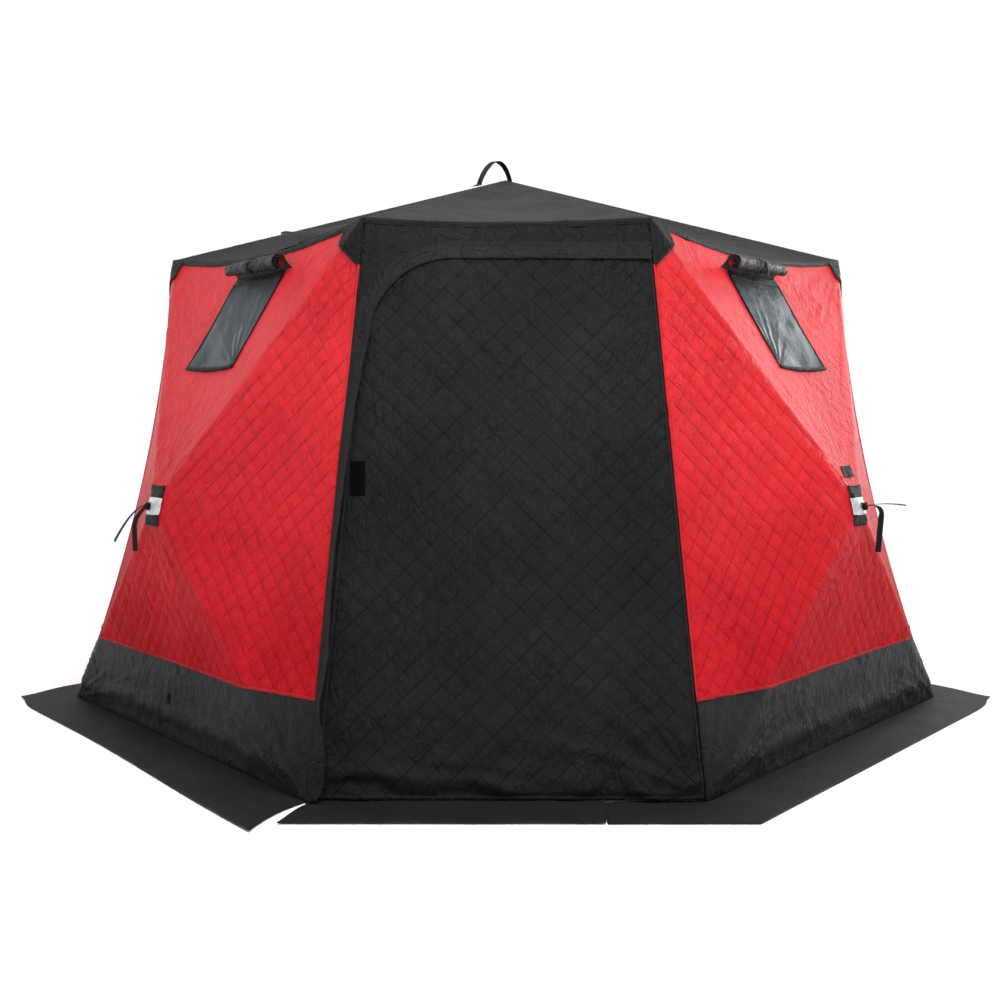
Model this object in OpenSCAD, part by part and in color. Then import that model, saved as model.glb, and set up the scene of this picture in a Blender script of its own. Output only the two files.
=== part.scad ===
// Pop-up hub ice fishing shelter.
// Six corners: four walls that each pop out on a hub and four poles, two flat door walls between them,
// and a roof on a seventh hub with six poles. All lengths are in millimetres.
// The origin is on the ground at the middle of the plan, +Z is up and the front door faces -Y.
// Angles round the plan are counted from the front door, towards +X.

/* [Shelter] */
// Height of the wall corners above the ground
wall_h = 2000; // [1900:10:2100]
// Height of the roof's peak above the ground
peak_h = 2360; // [2300:10:2420]
// Distance from the middle of the plan to a top corner
top_r = 1504; // [1450:2:1560]
// Distance from the middle of the plan to a base corner
base_r = 1975; // [1900:5:2050]
// Half of the angle that a door wall takes up
door_half = 19.9; // [19:0.1:21]

/* [Hub walls] */
// How far the middle of a hub wall stands out of its plane
pop = 257; // [240:1:270]
// Height of a wall's hub above the ground
hub_z = 895; // [850:5:950]
// Thickness of the quilted walls and the roof
wall_th = 3; // [2:0.5:4]
// Height of the base band
band_h = 330; // [280:5:380]
// How far a side seam pulls in at mid height
seam_bow = 80; // [0:5:90]
// How far the eave of a hub wall droops at its middle
eave_droop = 62; // [0:2:70]
// How far the eave of a door wall droops at its middle
door_droop = 17; // [0:1:25]

/* [Windows] */
// Width of a window
window_w = 415; // [380:5:440]
// Height of a window, measured up the wall
window_h = 370; // [340:5:380]
// Middle of a window above the ground, measured up the wall
window_v = 1720; // [1700:5:1730]
// Distance from a wall's middle line to its window's, towards the door
window_off = 45; // [30:5:60]
// How far a window's sides lean towards the door, as a share of its height
window_lean = 0.3; // [0.2:0.05:0.35]
// Length of a rolled-up window cover
roll_len = 450; // [430:5:480]
// Diameter of a rolled-up cover at its door end
roll_d = 68; // [55:1:72]

/* [Door] */
// Gap between the door panel and its door wall
door_gap = 2; // [1.5:0.5:4]
// Width of the door wall's strip at the door's free side
strip_w = 24; // [20:1:40]
// Height of the door's top edge, measured up the wall
door_top = 1935; // [1900:5:1950]
// Radius of the door's upper corner
door_arc = 330; // [250:5:350]
// Width of the storm flap over the zip
flap_w = 65; // [50:1:70]

/* [Snow skirt] */
// Width of the snow skirt
skirt_w = 260; // [230:5:280]
// Thickness of the snow skirt
skirt_th = 3; // [2:0.5:3]
// Gap between a door's skirt and the one that wraps round from the wall at its hinge
split_gap = 8; // [6:1:15]

/* [Frame] */
// Radius of a pole
pole_r = 5.5; // [4.5:0.5:6]
// Radius of the sleeve at a pole's corner end
sleeve_r = 8; // [7:0.5:8]
// Radius of a hinge pin
pin_r = 3; // [2.5:0.1:3.5]
// Distance of a pole's pivot from the corner
pivot_in = 80; // [75:1:95]
// Radius of a wall's hub
hub_r = 58; // [54:1:62]
// Radius of the roof's hub
roof_hub_r = 78; // [74:1:82]

/* [Hidden] */
$fn = 32;

// Each hub wall: its two corner angles and the side (-1 or 1) on which it meets a door wall
FR = [door_half, 90, -1];
BR = [90, 180 - door_half, 1];
BL = [180 + door_half, 270, -1];
FL = [270, 360 - door_half, 1];
HUB_WALLS = [FR, BR, BL, FL];
CORNERS = [door_half, 90, 180 - door_half, 180 + door_half, 270, 360 - door_half];

FRONT = 0;
BACK = 180;

// Fabric meets at the corners with this small angle between the pieces
seam_a = 0.06;
// Segments along each edge of a fabric panel
edge_n = 8;
slack = 0.5;

half_a = (90 - door_half)/2;
hub_lean = atan((base_r - top_r)*cos(half_a)/wall_h);
door_lean = atan((base_r - top_r)*cos(door_half)/wall_h);
hub_v = hub_z/cos(hub_lean);
wall_v = wall_h/cos(hub_lean);
door_v = wall_h/cos(door_lean);
base_u = base_r*sin(half_a);
top_u = top_r*sin(half_a);

// Frame depths, measured along a wall's normal or down from the roof
pivot_depth = 25;
hub_depth = 45;
hub_n = pop - hub_depth;
tip_in = 46;
roof_pivot_depth = 15;
roof_hub_depth = 56;
roof_tip_in = 66;

// Hub body: slots for the poles under a cap
slot_w = 13;
hub_low = -15;
hub_high = 17;
cap_th = 4;

// Brackets
ear_th = 4;
ear_gap = 2*sleeve_r + 1;
ear_h = 22;
ear_back = 56;
ball_r = 19;
bore_r = pin_r + 0.05;

// ---- geometry helpers ----

function polar(r, a, z) = [r*sin(a), -r*cos(a), z];
function edge_r(z) = base_r - (base_r - top_r)*z/wall_h;
function corner(a, z) = polar(edge_r(z), a, z);
function mix(p, q, t) = p + (q - p)*t;
function unit(v) = v/norm(v);
function hump(t) = 4*t*(1 - t);
// Side corners are the ones at 90 and 270 degrees
function bow_at(a) = abs(cos(a)) < 0.02 ? seam_bow : 0;
function seam(a, z) = polar(edge_r(z) - bow_at(a)*hump(z/wall_h), a, z);
function eave(a, b, t, droop) =
    mix(corner(a, wall_h), corner(b, wall_h), t) - [0, 0, droop*hump(t)];
function inward(p, d) = p - d*unit([p[0], p[1], 0]);

function wall_az(w) = (w[0] + w[1])/2;
function wall_normal(az, lean) =
    [sin(az)*cos(lean), -cos(az)*cos(lean), sin(lean)];
function wall_side(az) = [cos(az), sin(az), 0];
function wall_apex(w) =
    polar(cos(half_a)*edge_r(hub_z), wall_az(w), hub_z) + pop*wall_normal(wall_az(w), hub_lean);

// Closed outline of a hub wall, seen from outside, starting at its first base corner
function wall_ring(w) = let (a = w[0] + seam_a, b = w[1] - seam_a) concat(
    [for (i = [0:edge_n - 1]) mix(corner(a, 0), corner(b, 0), i/edge_n)],
    [for (i = [0:edge_n - 1]) seam(b, wall_h*i/edge_n)],
    [for (i = [0:edge_n - 1]) eave(b, a, i/edge_n, eave_droop)],
    [for (i = [0:edge_n - 1]) seam(a, wall_h*(1 - i/edge_n))]
);

// Sets the children on axes x, y and z at point o
module place(o, x, y, z) {
    multmatrix([
        [x[0], y[0], z[0], o[0]],
        [x[1], y[1], z[1], o[1]],
        [x[2], y[2], z[2], o[2]],
        [0, 0, 0, 1]
    ]) children();
}

// Sets the children in a hub wall's own frame: x along its base, y up its slope, z outwards
module on_wall(w) {
    az = wall_az(w);
    n = wall_normal(az, hub_lean);
    u = wall_side(az);
    place(polar(base_r*cos(half_a), az, 0), u, cross(n, u), n) children();
}

// The same for a door wall at angle az
module on_door(az) {
    n = wall_normal(az, door_lean);
    u = wall_side(az);
    place(polar(base_r*cos(door_half), az, 0), u, cross(n, u), n) children();
}

// A cone of fabric from an outer apex over an outer ring, closed by an inner apex and ring
module fan_shell(outer, inner, apex_out, apex_in) {
    n = len(outer);
    polyhedron(
        points = concat(outer, inner, [apex_out, apex_in]),
        faces = concat(
            [for (i = [0:n - 1]) [2*n, (i + 1)%n, i]],
            [for (i = [0:n - 1]) [2*n + 1, n + i, n + (i + 1)%n]],
            [for (i = [0:n - 1]) [i, (i + 1)%n, n + (i + 1)%n]],
            [for (i = [0:n - 1]) [i, n + (i + 1)%n, n + i]]
        ),
        convexity = 6
    );
}

// A hub wall's fabric between two depths under its outer face
module wall_shell(w, from, to) {
    ring = wall_ring(w);
    apex = wall_apex(w);
    n = wall_normal(wall_az(w), hub_lean);
    fan_shell(
        [for (p = ring) inward(p, 1.2*from)],
        [for (p = ring) inward(p, 1.2*to)],
        apex - from*n,
        apex - to*n
    );
}

module above(z) {
    translate([-3000, -3000, z]) cube([6000, 6000, 3000]);
}

module between(z0, z1) {
    translate([-3000, -3000, z0]) cube([6000, 6000, z1 - z0]);
}

module centred_box(u, v, w, h) {
    translate([u - w/2, v - h/2, -60]) cube([w, h, 500]);
}

// ---- hub walls ----

patch_w = 130;
patch_h = 185;
grommet_r = 12;

module window_prism(w, margin) {
    half_w = window_w/2 + margin;
    half_h = window_h/2 + margin;
    on_wall(w) translate([0, window_v, -60]) linear_extrude(500)
        polygon([for (s = [[-1, -1], [1, -1], [1, 1], [-1, 1]])
            [w[2]*(window_off + s[0]*half_w + s[1]*half_h*window_lean), s[1]*half_h]]);
}

module grommet_hole(w) {
    on_wall(w) translate([0, hub_v, 0]) cylinder(r = grommet_r, h = 500);
}

module hub_wall(w) {
    color("crimson") difference() {
        intersection() {
            wall_shell(w, 0, wall_th);
            between(band_h + 0.3, wall_h + 1);
        }
        window_prism(w, 0);
        grommet_hole(w);
    }
}

module base_bands() {
    color("#202022") for (w = HUB_WALLS) intersection() {
        wall_shell(w, 0, wall_th);
        between(skirt_th + 0.5, band_h);
    }
}

module window_panes() {
    color("dimgray") for (w = HUB_WALLS) intersection() {
        wall_shell(w, 1, 2);
        window_prism(w, -slack);
    }
}

module hub_patches() {
    color("#181818") for (w = HUB_WALLS) difference() {
        intersection() {
            wall_shell(w, -1.4, -0.3);
            on_wall(w) {
                centred_box(0, hub_v, patch_w, patch_h);
                if (w[2] < 0) centred_box(0, hub_v + 150, 100, 46);
            }
        }
        grommet_hole(w);
    }
}

// Reinforcement at the two top corners of each hub wall
module corner_patches() {
    across = 115;
    short_drop = 85;
    long_drop = 175;
    color("#1c1c1e") for (w = HUB_WALLS) intersection() {
        wall_shell(w, -1.4, -0.3);
        on_wall(w) for (s = [-1, 1]) translate([s*top_u, wall_v, -60]) linear_extrude(200)
            polygon([[s*5, 5], [-s*across, 5], [-s*across, -short_drop], [s*45, -long_drop]]);
    }
}

// Window covers, rolled up and tied over the windows
roll_u = 142;
roll_v = window_v + window_h/2 + 3;
roll_n = 66;

module window_covers() {
    color("#26262a") for (w = HUB_WALLS) on_wall(w)
        translate([w[2]*roll_u, roll_v, roll_n]) rotate([0, w[2]*90, 0])
            translate([0, 0, -roll_len/2]) cylinder(r1 = roll_d/2 - 7, r2 = roll_d/2, h = roll_len);
}

module cover_toggles() {
    color("black") for (w = HUB_WALLS) on_wall(w)
        translate([w[2]*roll_u, roll_v, roll_n + roll_d/2 + 4]) rotate([90, 0, 0])
            translate([0, 0, -18]) cylinder(r = 4.5, h = 36);
}

// One webbing loop on the base band of the front left wall, and one opposite it
module band_loops() {
    loop_w = 20;
    loop_h = 42;
    loop_v = 150;
    loop_gap = 2.5;
    color("black") for (w = [FL, BR])
        on_wall(w) translate([-w[2]*15, loop_v, pop*loop_v/hub_v + loop_gap])
            rotate([atan(pop/hub_v), 0, 0]) difference() {
                cube([loop_w, loop_h, 7]);
                translate([-1, 4, 1.5]) cube([loop_w + 2, loop_h - 8, 4]);
            }
}

// ---- roof ----

function roof_ring() = [
    for (i = [0:5]) let (
        a = CORNERS[i],
        b = CORNERS[(i + 1)%6],
        droop = i == 2 || i == 5 ? door_droop : eave_droop
    ) for (j = [0:edge_n - 1]) eave(a, b, j/edge_n, droop)
];

module roof_canopy() {
    rim = wall_th + slack;
    color("#2a2a2c") fan_shell(
        [for (p = roof_ring()) p + [0, 0, rim]],
        [for (p = roof_ring()) p + [0, 0, slack]],
        [0, 0, peak_h],
        [0, 0, peak_h - wall_th]
    );
}

// A point on the roof between corners a and b: t along the eave, r from the peak to the eave
function gore(a, b, t, r, lift) =
    mix([0, 0, peak_h], eave(a, b, t, eave_droop), r) + [0, 0, lift];

// The vent's hood on the front left gore: sewn along its upper edge, free along its lower one
vent_t = [0.06, 0.44];
vent_r = [0.78, 0.94];
vent_open = 70;
vent_shut = 12;
vent_cols = 8;

function hood_point(i, s, top) = let (
    t = mix(vent_t[0], vent_t[1], i/vent_cols),
    open = mix(vent_shut, vent_open, i/vent_cols)
) gore(360 - door_half, 270, t, mix(vent_r[0], vent_r[1], s), 6 + open*s + (top ? 2 : 0));

module vent_hood() {
    n = vent_cols + 1;
    rows = [for (top = [false, true], s = [0, 1], i = [0:vent_cols]) hood_point(i, s, top)];
    color("#303033") polyhedron(
        points = rows,
        faces = concat(
            [for (i = [0:n - 2]) for (f = [[i, i + 1, n + i + 1], [i, n + i + 1, n + i]]) f],
            [for (i = [0:n - 2]) for (f = [[2*n + i, 3*n + i + 1, 2*n + i + 1],
                [2*n + i, 3*n + i, 3*n + i + 1]]) f],
            [for (i = [0:n - 2]) for (f = [[i, 2*n + i + 1, i + 1], [i, 2*n + i, 2*n + i + 1]]) f],
            [for (i = [0:n - 2]) for (f = [[n + i, n + i + 1, 3*n + i + 1],
                [n + i, 3*n + i + 1, 3*n + i]]) f],
            [[0, n, 3*n], [0, 3*n, 2*n]],
            [[n - 1, 4*n - 1, 2*n - 1], [n - 1, 3*n - 1, 4*n - 1]]
        ),
        convexity = 4
    );
}

// The stay that holds the hood open stands on a short bar on the roof, under the hood's free edge
prop_r = 3;
prop_len = 44;
prop_bar = 24;
prop_foot = gore(360 - door_half, 270, 0.40, 0.915, 10);

module vent_prop() {
    az = wall_az(FL);
    color("black") place(prop_foot, wall_side(az), polar(-1, az, 0), [0, 0, 1]) {
        cylinder(r = prop_r, h = prop_len);
        rotate([0, 90, 0]) cylinder(r = prop_r, h = prop_bar, center = true);
    }
}

// ---- door walls ----

function door_edge_u(v) = base_r*sin(door_half) - (base_r - top_r)*sin(door_half)*v/door_v;

// Outline of a door panel grown by g, seen from outside, hinge at the right
function door_outline(g) = let (
    low = 12,
    arc_v = door_top - door_arc,
    arc_u = -door_edge_u(arc_v) + strip_w + door_arc
) concat(
    [[door_edge_u(low) - 6 + g, low - g], [door_edge_u(door_top) - 6 + g, door_top + g]],
    [for (i = [0:12]) let (a = 90 + 90*i/12)
        [arc_u + (door_arc + g)*cos(a), arc_v + (door_arc + g)*sin(a)]],
    [[-door_edge_u(low) + strip_w - g, low - g]]
);

module door_wall(az) {
    top = door_v - door_droop/2;
    edge_in = 3;
    color("#222225") intersection() {
        on_door(az) translate([0, 0, -wall_th]) linear_extrude(wall_th) difference() {
            polygon([
                [-door_edge_u(0) + edge_in, 4],
                [-door_edge_u(top) + edge_in, top],
                [-door_edge_u(top)/2, top - 8],
                [door_edge_u(top)/2, top - 8],
                [door_edge_u(top) - edge_in, top],
                [door_edge_u(0) - edge_in, 4]
            ]);
            polygon(door_outline(door_gap));
            translate([0, -100]) square([door_edge_u(0) + 100, door_top + 100]);
        }
        between(skirt_th + slack, wall_h - door_droop - slack);
    }
}

module door_panel(az) {
    color("#28282b") on_door(az) translate([0, 0, -wall_th]) linear_extrude(wall_th)
        polygon(door_outline(0));
}

// Storm flap: a band over the zip, along the door's free side, round its corner and over its top
module storm_flap(az) {
    low = 60;
    arc_v = door_top - door_arc;
    arc_u = -door_edge_u(arc_v) + strip_w + door_arc;
    inner = door_arc - flap_w/2 - 5;
    outer = door_arc + flap_w/2 - 5;
    color("#2c2c30") on_door(az) translate([0, 0, 9]) linear_extrude(2) intersection() {
        polygon(concat(
            [for (i = [0:12]) let (a = 90 + 90*i/12) [arc_u + outer*cos(a), arc_v + outer*sin(a)]],
            [[-door_edge_u(low) + strip_w - flap_w/2 + 5, low],
                [-door_edge_u(low) + strip_w + flap_w/2 + 5, low]],
            [for (i = [12:-1:0]) let (a = 90 + 90*i/12)
                [arc_u + inner*cos(a), arc_v + inner*sin(a)]],
            [[door_edge_u(door_top) - 14, arc_v + inner],
                [door_edge_u(door_top) - 14, arc_v + outer]]
        ));
        polygon([[-door_edge_u(0) + 6, 0], [-door_edge_u(door_v) + 6, door_v],
            [door_edge_u(door_v) - 6, door_v], [door_edge_u(0) - 6, 0]]);
    }
}

// Zip slider with its pull, at the foot of the door's free side, on the door wall's strip
slider_v = 110;

module zip_slider(az) {
    along = unit([door_edge_u(0) - door_edge_u(door_v), door_v, 0]);
    color("#55585c") on_door(az)
        place([-door_edge_u(slider_v) + strip_w/2, slider_v, 0], cross(along, [0, 0, 1]), along,
            [0, 0, 1]) {
            translate([-5, 0, 0.6]) cube([10, 14, 4]);
            translate([-4, -32, 3]) cube([8, 36, 1.6]);
        }
}

// ---- snow skirt ----

// Extra length of the skirt of the wall beside a door's free side
free_tip = 204;
corner_turn = wall_az(FR);
door_end = skirt_w*tan(corner_turn/2);
side_end = skirt_w*tan(half_a);
door_u = base_r*sin(door_half);
// Where the door's own skirt ends and the one that wraps round from the next wall begins
split_u = 320;

// Flat on the ground: x along the base edge of the wall at angle az, y outwards from it
module on_ground(az, half) {
    place(polar(base_r*cos(half), az, 0), wall_side(az), polar(-1, az, 0), [0, 0, 1])
        linear_extrude(skirt_th) scale([1, -1]) children();
}

// A point past the corner at base_u: s along the door wall's base edge and y outwards from it
function past_corner(s, y) =
    [base_u, 0] + s*[cos(corner_turn), -sin(corner_turn)] + y*[sin(corner_turn), cos(corner_turn)];

module wall_skirt(w) {
    wraps = w == FR || w == BL;
    door_side = wraps ?
        [past_corner(door_u - split_u, 1), past_corner(door_u - split_u, skirt_w),
            [base_u + door_end, skirt_w]] :
        [[base_u + free_tip - 1, skirt_w]];
    on_ground(wall_az(w), half_a) scale([w[2], 1]) polygon(concat(
        [[base_u + (wraps ? tan(corner_turn/2) : -1), 1]],
        door_side,
        [[-base_u - side_end, skirt_w], [-base_u, 1]]
    ));
}

module snow_skirt(walls) {
    color("#1a1a1c") for (w = walls) wall_skirt(w);
}

// A door's own skirt hangs on the door's lower edge and is folded flat on the ground
module door_skirt(az) {
    left_in = 12;
    left_tip = 59;
    color("#1a1a1c") on_ground(az, door_half) polygon([
        [-door_u + left_in, 4],
        [-door_u - left_tip, skirt_w],
        [split_u - split_gap, skirt_w],
        [split_u - split_gap, 4]
    ]);
}

// ---- frame ----

// The corner of a hub wall in the wall's own frame: side is -1 or 1, top is true or false
function wall_corner(side, top) = [side*(top ? top_u : base_u), top ? wall_v : 0, 0];
function hub_foot() = [0, hub_v, 0];
function pole_way(side, top) = unit(hub_foot() - wall_corner(side, top));
function wall_pivot(side, top) =
    wall_corner(side, top) + pivot_in*pole_way(side, top) - [0, 0, pivot_depth];
function wall_tip(side, top) = hub_foot() - tip_in*pole_way(side, top) + [0, 0, hub_n];

function roof_pivot(a) = polar(top_r - pivot_in, a, wall_h - roof_pivot_depth);
function roof_tip(a) = polar(roof_tip_in, a, peak_h - roof_hub_depth);

// A pole from its pivot to its free end, with a bored sleeve at the pivot; way is its flat direction
module pole(pivot, tip, way, normal) {
    length = norm(tip - pivot);
    z = unit(tip - pivot);
    x = cross(way, normal);
    sleeve_len = 62;
    sleeve_end = 12;
    ferrule_len = 34;
    color("#b8babd") place(pivot, x, cross(z, x), z) difference() {
        union() {
            translate([0, 0, -sleeve_end]) cylinder(r = sleeve_r, h = sleeve_len);
            cylinder(r = pole_r, h = length - 1);
            translate([0, 0, length - ferrule_len]) cylinder(r = pole_r + 0.5, h = ferrule_len);
        }
        rotate([0, 90, 0]) cylinder(r = bore_r, h = 4*sleeve_r, center = true);
    }
}

module wall_pole(w, side, top) {
    on_wall(w) pole(wall_pivot(side, top), wall_tip(side, top), pole_way(side, top), [0, 0, 1]);
}

module roof_pole(a) {
    pole(roof_pivot(a), roof_tip(a), polar(-1, a, 0), [0, 0, 1]);
}

// Two ears and the pin between them, reaching back from the pivot towards the corner
module clevis(pivot, way, normal) {
    x = cross(way, normal);
    head_r = 5;
    head_th = 2;
    place(pivot, x, cross(way, x), way) {
        for (s = [-1, 1]) {
            translate([s*(ear_gap + ear_th)/2, 0, (12 - ear_back)/2])
                cube([ear_th, ear_h, 12 + ear_back], center = true);
            translate([s*(ear_gap/2 + ear_th + head_th/2), 0, 0]) rotate([0, 90, 0])
                cylinder(r = head_r, h = head_th, center = true);
        }
        rotate([0, 90, 0]) cylinder(r = pin_r, h = ear_gap + 2*ear_th, center = true);
    }
}

// The moulded ball that joins a corner's ears sits inside the fabric, on the corner's bisector
skew = wall_az(FR)/2 - door_half;
BALL_TURN = [skew, 0, -skew, skew, 0, -skew];
ball_in = [36, 30];
ball_up = [22, -25];

module corner_ball(i, top) {
    level = top ? 1 : 0;
    z = level*wall_h;
    turn = CORNERS[i] + BALL_TURN[i];
    translate(corner(CORNERS[i], z) - polar(ball_in[level], turn, 0) + [0, 0, ball_up[level]])
        sphere(r = ball_r);
}

module wall_clevises(top) {
    for (w = HUB_WALLS) on_wall(w) for (side = [-1, 1])
        clevis(wall_pivot(side, top), pole_way(side, top), [0, 0, 1]);
}

module corner_brackets_top() {
    color("#141414") {
        for (i = [0:5]) {
            corner_ball(i, true);
            clevis(roof_pivot(CORNERS[i]), polar(-1, CORNERS[i], 0), [0, 0, 1]);
        }
        wall_clevises(true);
    }
}

module corner_brackets_base() {
    color("#141414") {
        for (i = [0:5]) corner_ball(i, false);
        wall_clevises(false);
    }
}

// Hub: a slotted disc with a cap; each pole's free end lies loose in its own slot
module hub(r, core, angles, dome) {
    boss_r = 16;
    color("#18181a") {
        difference() {
            translate([0, 0, hub_low]) cylinder(r = r, h = hub_high - hub_low);
            for (a = angles) rotate([0, 0, a]) translate([core, -slot_w/2, hub_low - 1])
                cube([r, slot_w, hub_high - hub_low + 1]);
        }
        translate([0, 0, hub_high]) cylinder(r = r, h = cap_th);
        translate([0, 0, hub_high + cap_th]) cylinder(r1 = r, r2 = boss_r, h = dome);
    }
}

wall_dome = 12;
roof_dome = 18;

module wall_hub(w) {
    way = [for (side = [-1, 1], top = [false, true]) -pole_way(side, top)];
    on_wall(w) translate([0, hub_v, hub_n])
        hub(hub_r, 14, [for (d = way) atan2(d[1], d[0])], wall_dome);
}

module roof_hub() {
    translate([0, 0, peak_h - roof_hub_depth])
        hub(roof_hub_r, 22, [for (a = CORNERS) a - 90], roof_dome);
}

// ---- straps ----

strap_w = 22;
strap_th = 2;

// A flat tail that leaves the knot, bends over and hangs down
module tail(hang) {
    out = 22;
    bend = 30;
    linear_extrude(strap_w, center = true) {
        translate([0, -strap_th/2]) square([out + 0.1, strap_th]);
        translate([out, bend]) intersection() {
            difference() {
                circle(bend + strap_th/2);
                circle(bend - strap_th/2);
            }
            translate([0, -2*bend]) square(2*bend);
        }
        translate([out + bend - strap_th/2, bend - 0.1]) square([strap_th, hang]);
    }
}

module pull_strap(w) {
    neck_r = 5;
    knot_r = 13;
    knot_n = pop + 22;
    neck_n = hub_n + hub_high + cap_th + wall_dome;
    color("black") on_wall(w) translate([0, hub_v, 0]) {
        translate([0, 0, neck_n]) cylinder(r = neck_r, h = knot_n - neck_n);
        translate([0, 0, knot_n]) sphere(r = knot_r);
        for (side = [-1, 1]) rotate([0, 0, side*24])
            place([0, 0, knot_n + 4*side], [0, 0, 1], [0, -1, 0], [1, 0, 0]) tail(120 + 20*side);
    }
}

// The strap over the roof's peak: an arch of webbing stitched down at both ends
module roof_strap() {
    from = [-115, -285];
    to = [20, 45];
    arch = 95;
    over = 9;
    span = norm(to - from);
    from_z = peak_h - (peak_h - wall_h)*norm(from)/top_r + over;
    to_z = peak_h - (peak_h - wall_h)*norm(to)/top_r + over;
    steps = 24;
    way = unit([to[0] - from[0], to[1] - from[1], 0]);
    side = cross(way, [0, 0, 1]);
    color("black") place([from[0], from[1], 0] + side*strap_w/2, way, [0, 0, 1], cross(way, [0, 0, 1]))
        translate([0, 0, -strap_w]) linear_extrude(strap_w) polygon(concat(
            [for (i = [0:steps]) [span*i/steps, mix(from_z, to_z, i/steps) + arch*hump(i/steps)]],
            [for (i = [steps:-1:0]) [span*i/steps,
                mix(from_z, to_z, i/steps) + (arch - strap_th)*hump(i/steps) - strap_th]]
        ));
}

// ---- nodes ----

hub_wall(FL);  // wall_front_left
hub_wall(FR);  // wall_front_right
hub_wall(BL);  // wall_back_left
hub_wall(BR);  // wall_back_right
base_bands();
door_wall(FRONT);  // door_wall_front
door_wall(BACK);  // door_wall_back
roof_canopy();
corner_patches();
hub_patches();
snow_skirt([FL, BL]);  // snow_skirt_left
snow_skirt([FR, BR]);  // snow_skirt_right
window_panes();
window_covers();
cover_toggles();
band_loops();
corner_brackets_top();
corner_brackets_base();
storm_flap(FRONT);  // storm_flap_front
storm_flap(BACK);  // storm_flap_back
door_panel(FRONT);  // door_front
door_panel(BACK);  // door_back
door_skirt(FRONT);  // door_skirt_front
door_skirt(BACK);  // door_skirt_back
zip_slider(FRONT);  // zip_slider_front
zip_slider(BACK);  // zip_slider_back
wall_hub(FL);  // wall_hub_fl
wall_hub(FR);  // wall_hub_fr
wall_hub(BL);  // wall_hub_bl
wall_hub(BR);  // wall_hub_br
pull_strap(FL);  // pull_strap_fl
pull_strap(FR);  // pull_strap_fr
pull_strap(BL);  // pull_strap_bl
pull_strap(BR);  // pull_strap_br
roof_hub();
roof_strap();
vent_hood();
vent_prop();
wall_pole(FL, 1, true);  // pole_fl_top_door
wall_pole(FL, -1, true);  // pole_fl_top_side
wall_pole(FL, 1, false);  // pole_fl_base_door
wall_pole(FL, -1, false);  // pole_fl_base_side
wall_pole(FR, -1, true);  // pole_fr_top_door
wall_pole(FR, 1, true);  // pole_fr_top_side
wall_pole(FR, -1, false);  // pole_fr_base_door
wall_pole(FR, 1, false);  // pole_fr_base_side
wall_pole(BL, -1, true);  // pole_bl_top_door
wall_pole(BL, 1, true);  // pole_bl_top_side
wall_pole(BL, -1, false);  // pole_bl_base_door
wall_pole(BL, 1, false);  // pole_bl_base_side
wall_pole(BR, 1, true);  // pole_br_top_door
wall_pole(BR, -1, true);  // pole_br_top_side
wall_pole(BR, 1, false);  // pole_br_base_door
wall_pole(BR, -1, false);  // pole_br_base_side
roof_pole(360 - door_half);  // roof_pole_fl
roof_pole(door_half);  // roof_pole_fr
roof_pole(270);  // roof_pole_l
roof_pole(90);  // roof_pole_r
roof_pole(180 + door_half);  // roof_pole_bl
roof_pole(180 - door_half);  // roof_pole_br
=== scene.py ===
import math

import bpy
import numpy as np
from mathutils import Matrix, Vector


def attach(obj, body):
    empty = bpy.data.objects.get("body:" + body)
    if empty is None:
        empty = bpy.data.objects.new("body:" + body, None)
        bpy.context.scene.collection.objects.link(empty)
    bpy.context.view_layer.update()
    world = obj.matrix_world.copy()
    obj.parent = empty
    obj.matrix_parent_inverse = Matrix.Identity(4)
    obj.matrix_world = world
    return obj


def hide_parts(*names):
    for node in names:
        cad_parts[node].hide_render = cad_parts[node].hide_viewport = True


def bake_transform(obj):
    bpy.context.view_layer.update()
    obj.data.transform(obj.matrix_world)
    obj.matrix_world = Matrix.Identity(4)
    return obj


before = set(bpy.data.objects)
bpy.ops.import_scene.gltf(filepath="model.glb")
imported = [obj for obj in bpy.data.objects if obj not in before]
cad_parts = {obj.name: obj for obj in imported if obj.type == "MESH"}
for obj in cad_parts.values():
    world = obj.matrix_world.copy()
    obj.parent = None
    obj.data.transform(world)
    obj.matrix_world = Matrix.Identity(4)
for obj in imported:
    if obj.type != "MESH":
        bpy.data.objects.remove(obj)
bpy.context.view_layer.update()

# ---------------------------------------------------------------- sizes, metres and degrees, as in the CAD
WALL_H, PEAK_H, TOP_R, BASE_R, DOOR_HALF = 2.0, 2.36, 1.504, 1.975, 19.9
POP, HUB_Z, BAND_H, BOW, DROOP, DOOR_DROOP = 0.257, 0.895, 0.33, 0.08, 0.062, 0.017
WIN_W, WIN_H, WIN_V, WIN_OFF, WIN_LEAN = 0.415, 0.37, 1.72, 0.045, 0.3
ROLL_L, ROLL_D, ROLL_N, ROLL_U = 0.45, 0.068, 0.066, 0.142
ROLL_V = WIN_V + WIN_H / 2 + 0.003
DOOR_GAP, STRIP_W, DOOR_TOP, DOOR_ARC, FLAP_W = 0.002, 0.024, 1.935, 0.33, 0.065
SKIRT_W, SPLIT_GAP, SPLIT_U, FREE_TIP = 0.26, 0.008, 0.32, 0.204
PATCH_W, STRAP_W = 0.13, 0.022
FR = (DOOR_HALF, 90.0, -1, "fr")
BR = (90.0, 180.0 - DOOR_HALF, 1, "br")
BL = (180.0 + DOOR_HALF, 270.0, -1, "bl")
FL = (270.0, 360.0 - DOOR_HALF, 1, "fl")
WALLS = (FR, BR, BL, FL)
WALL_NODE = {"fr": "wall_front_right", "br": "wall_back_right", "bl": "wall_back_left", "fl": "wall_front_left"}
CORNERS = (DOOR_HALF, 90.0, 180.0 - DOOR_HALF, 180.0 + DOOR_HALF, 270.0, 360.0 - DOOR_HALF)
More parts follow.
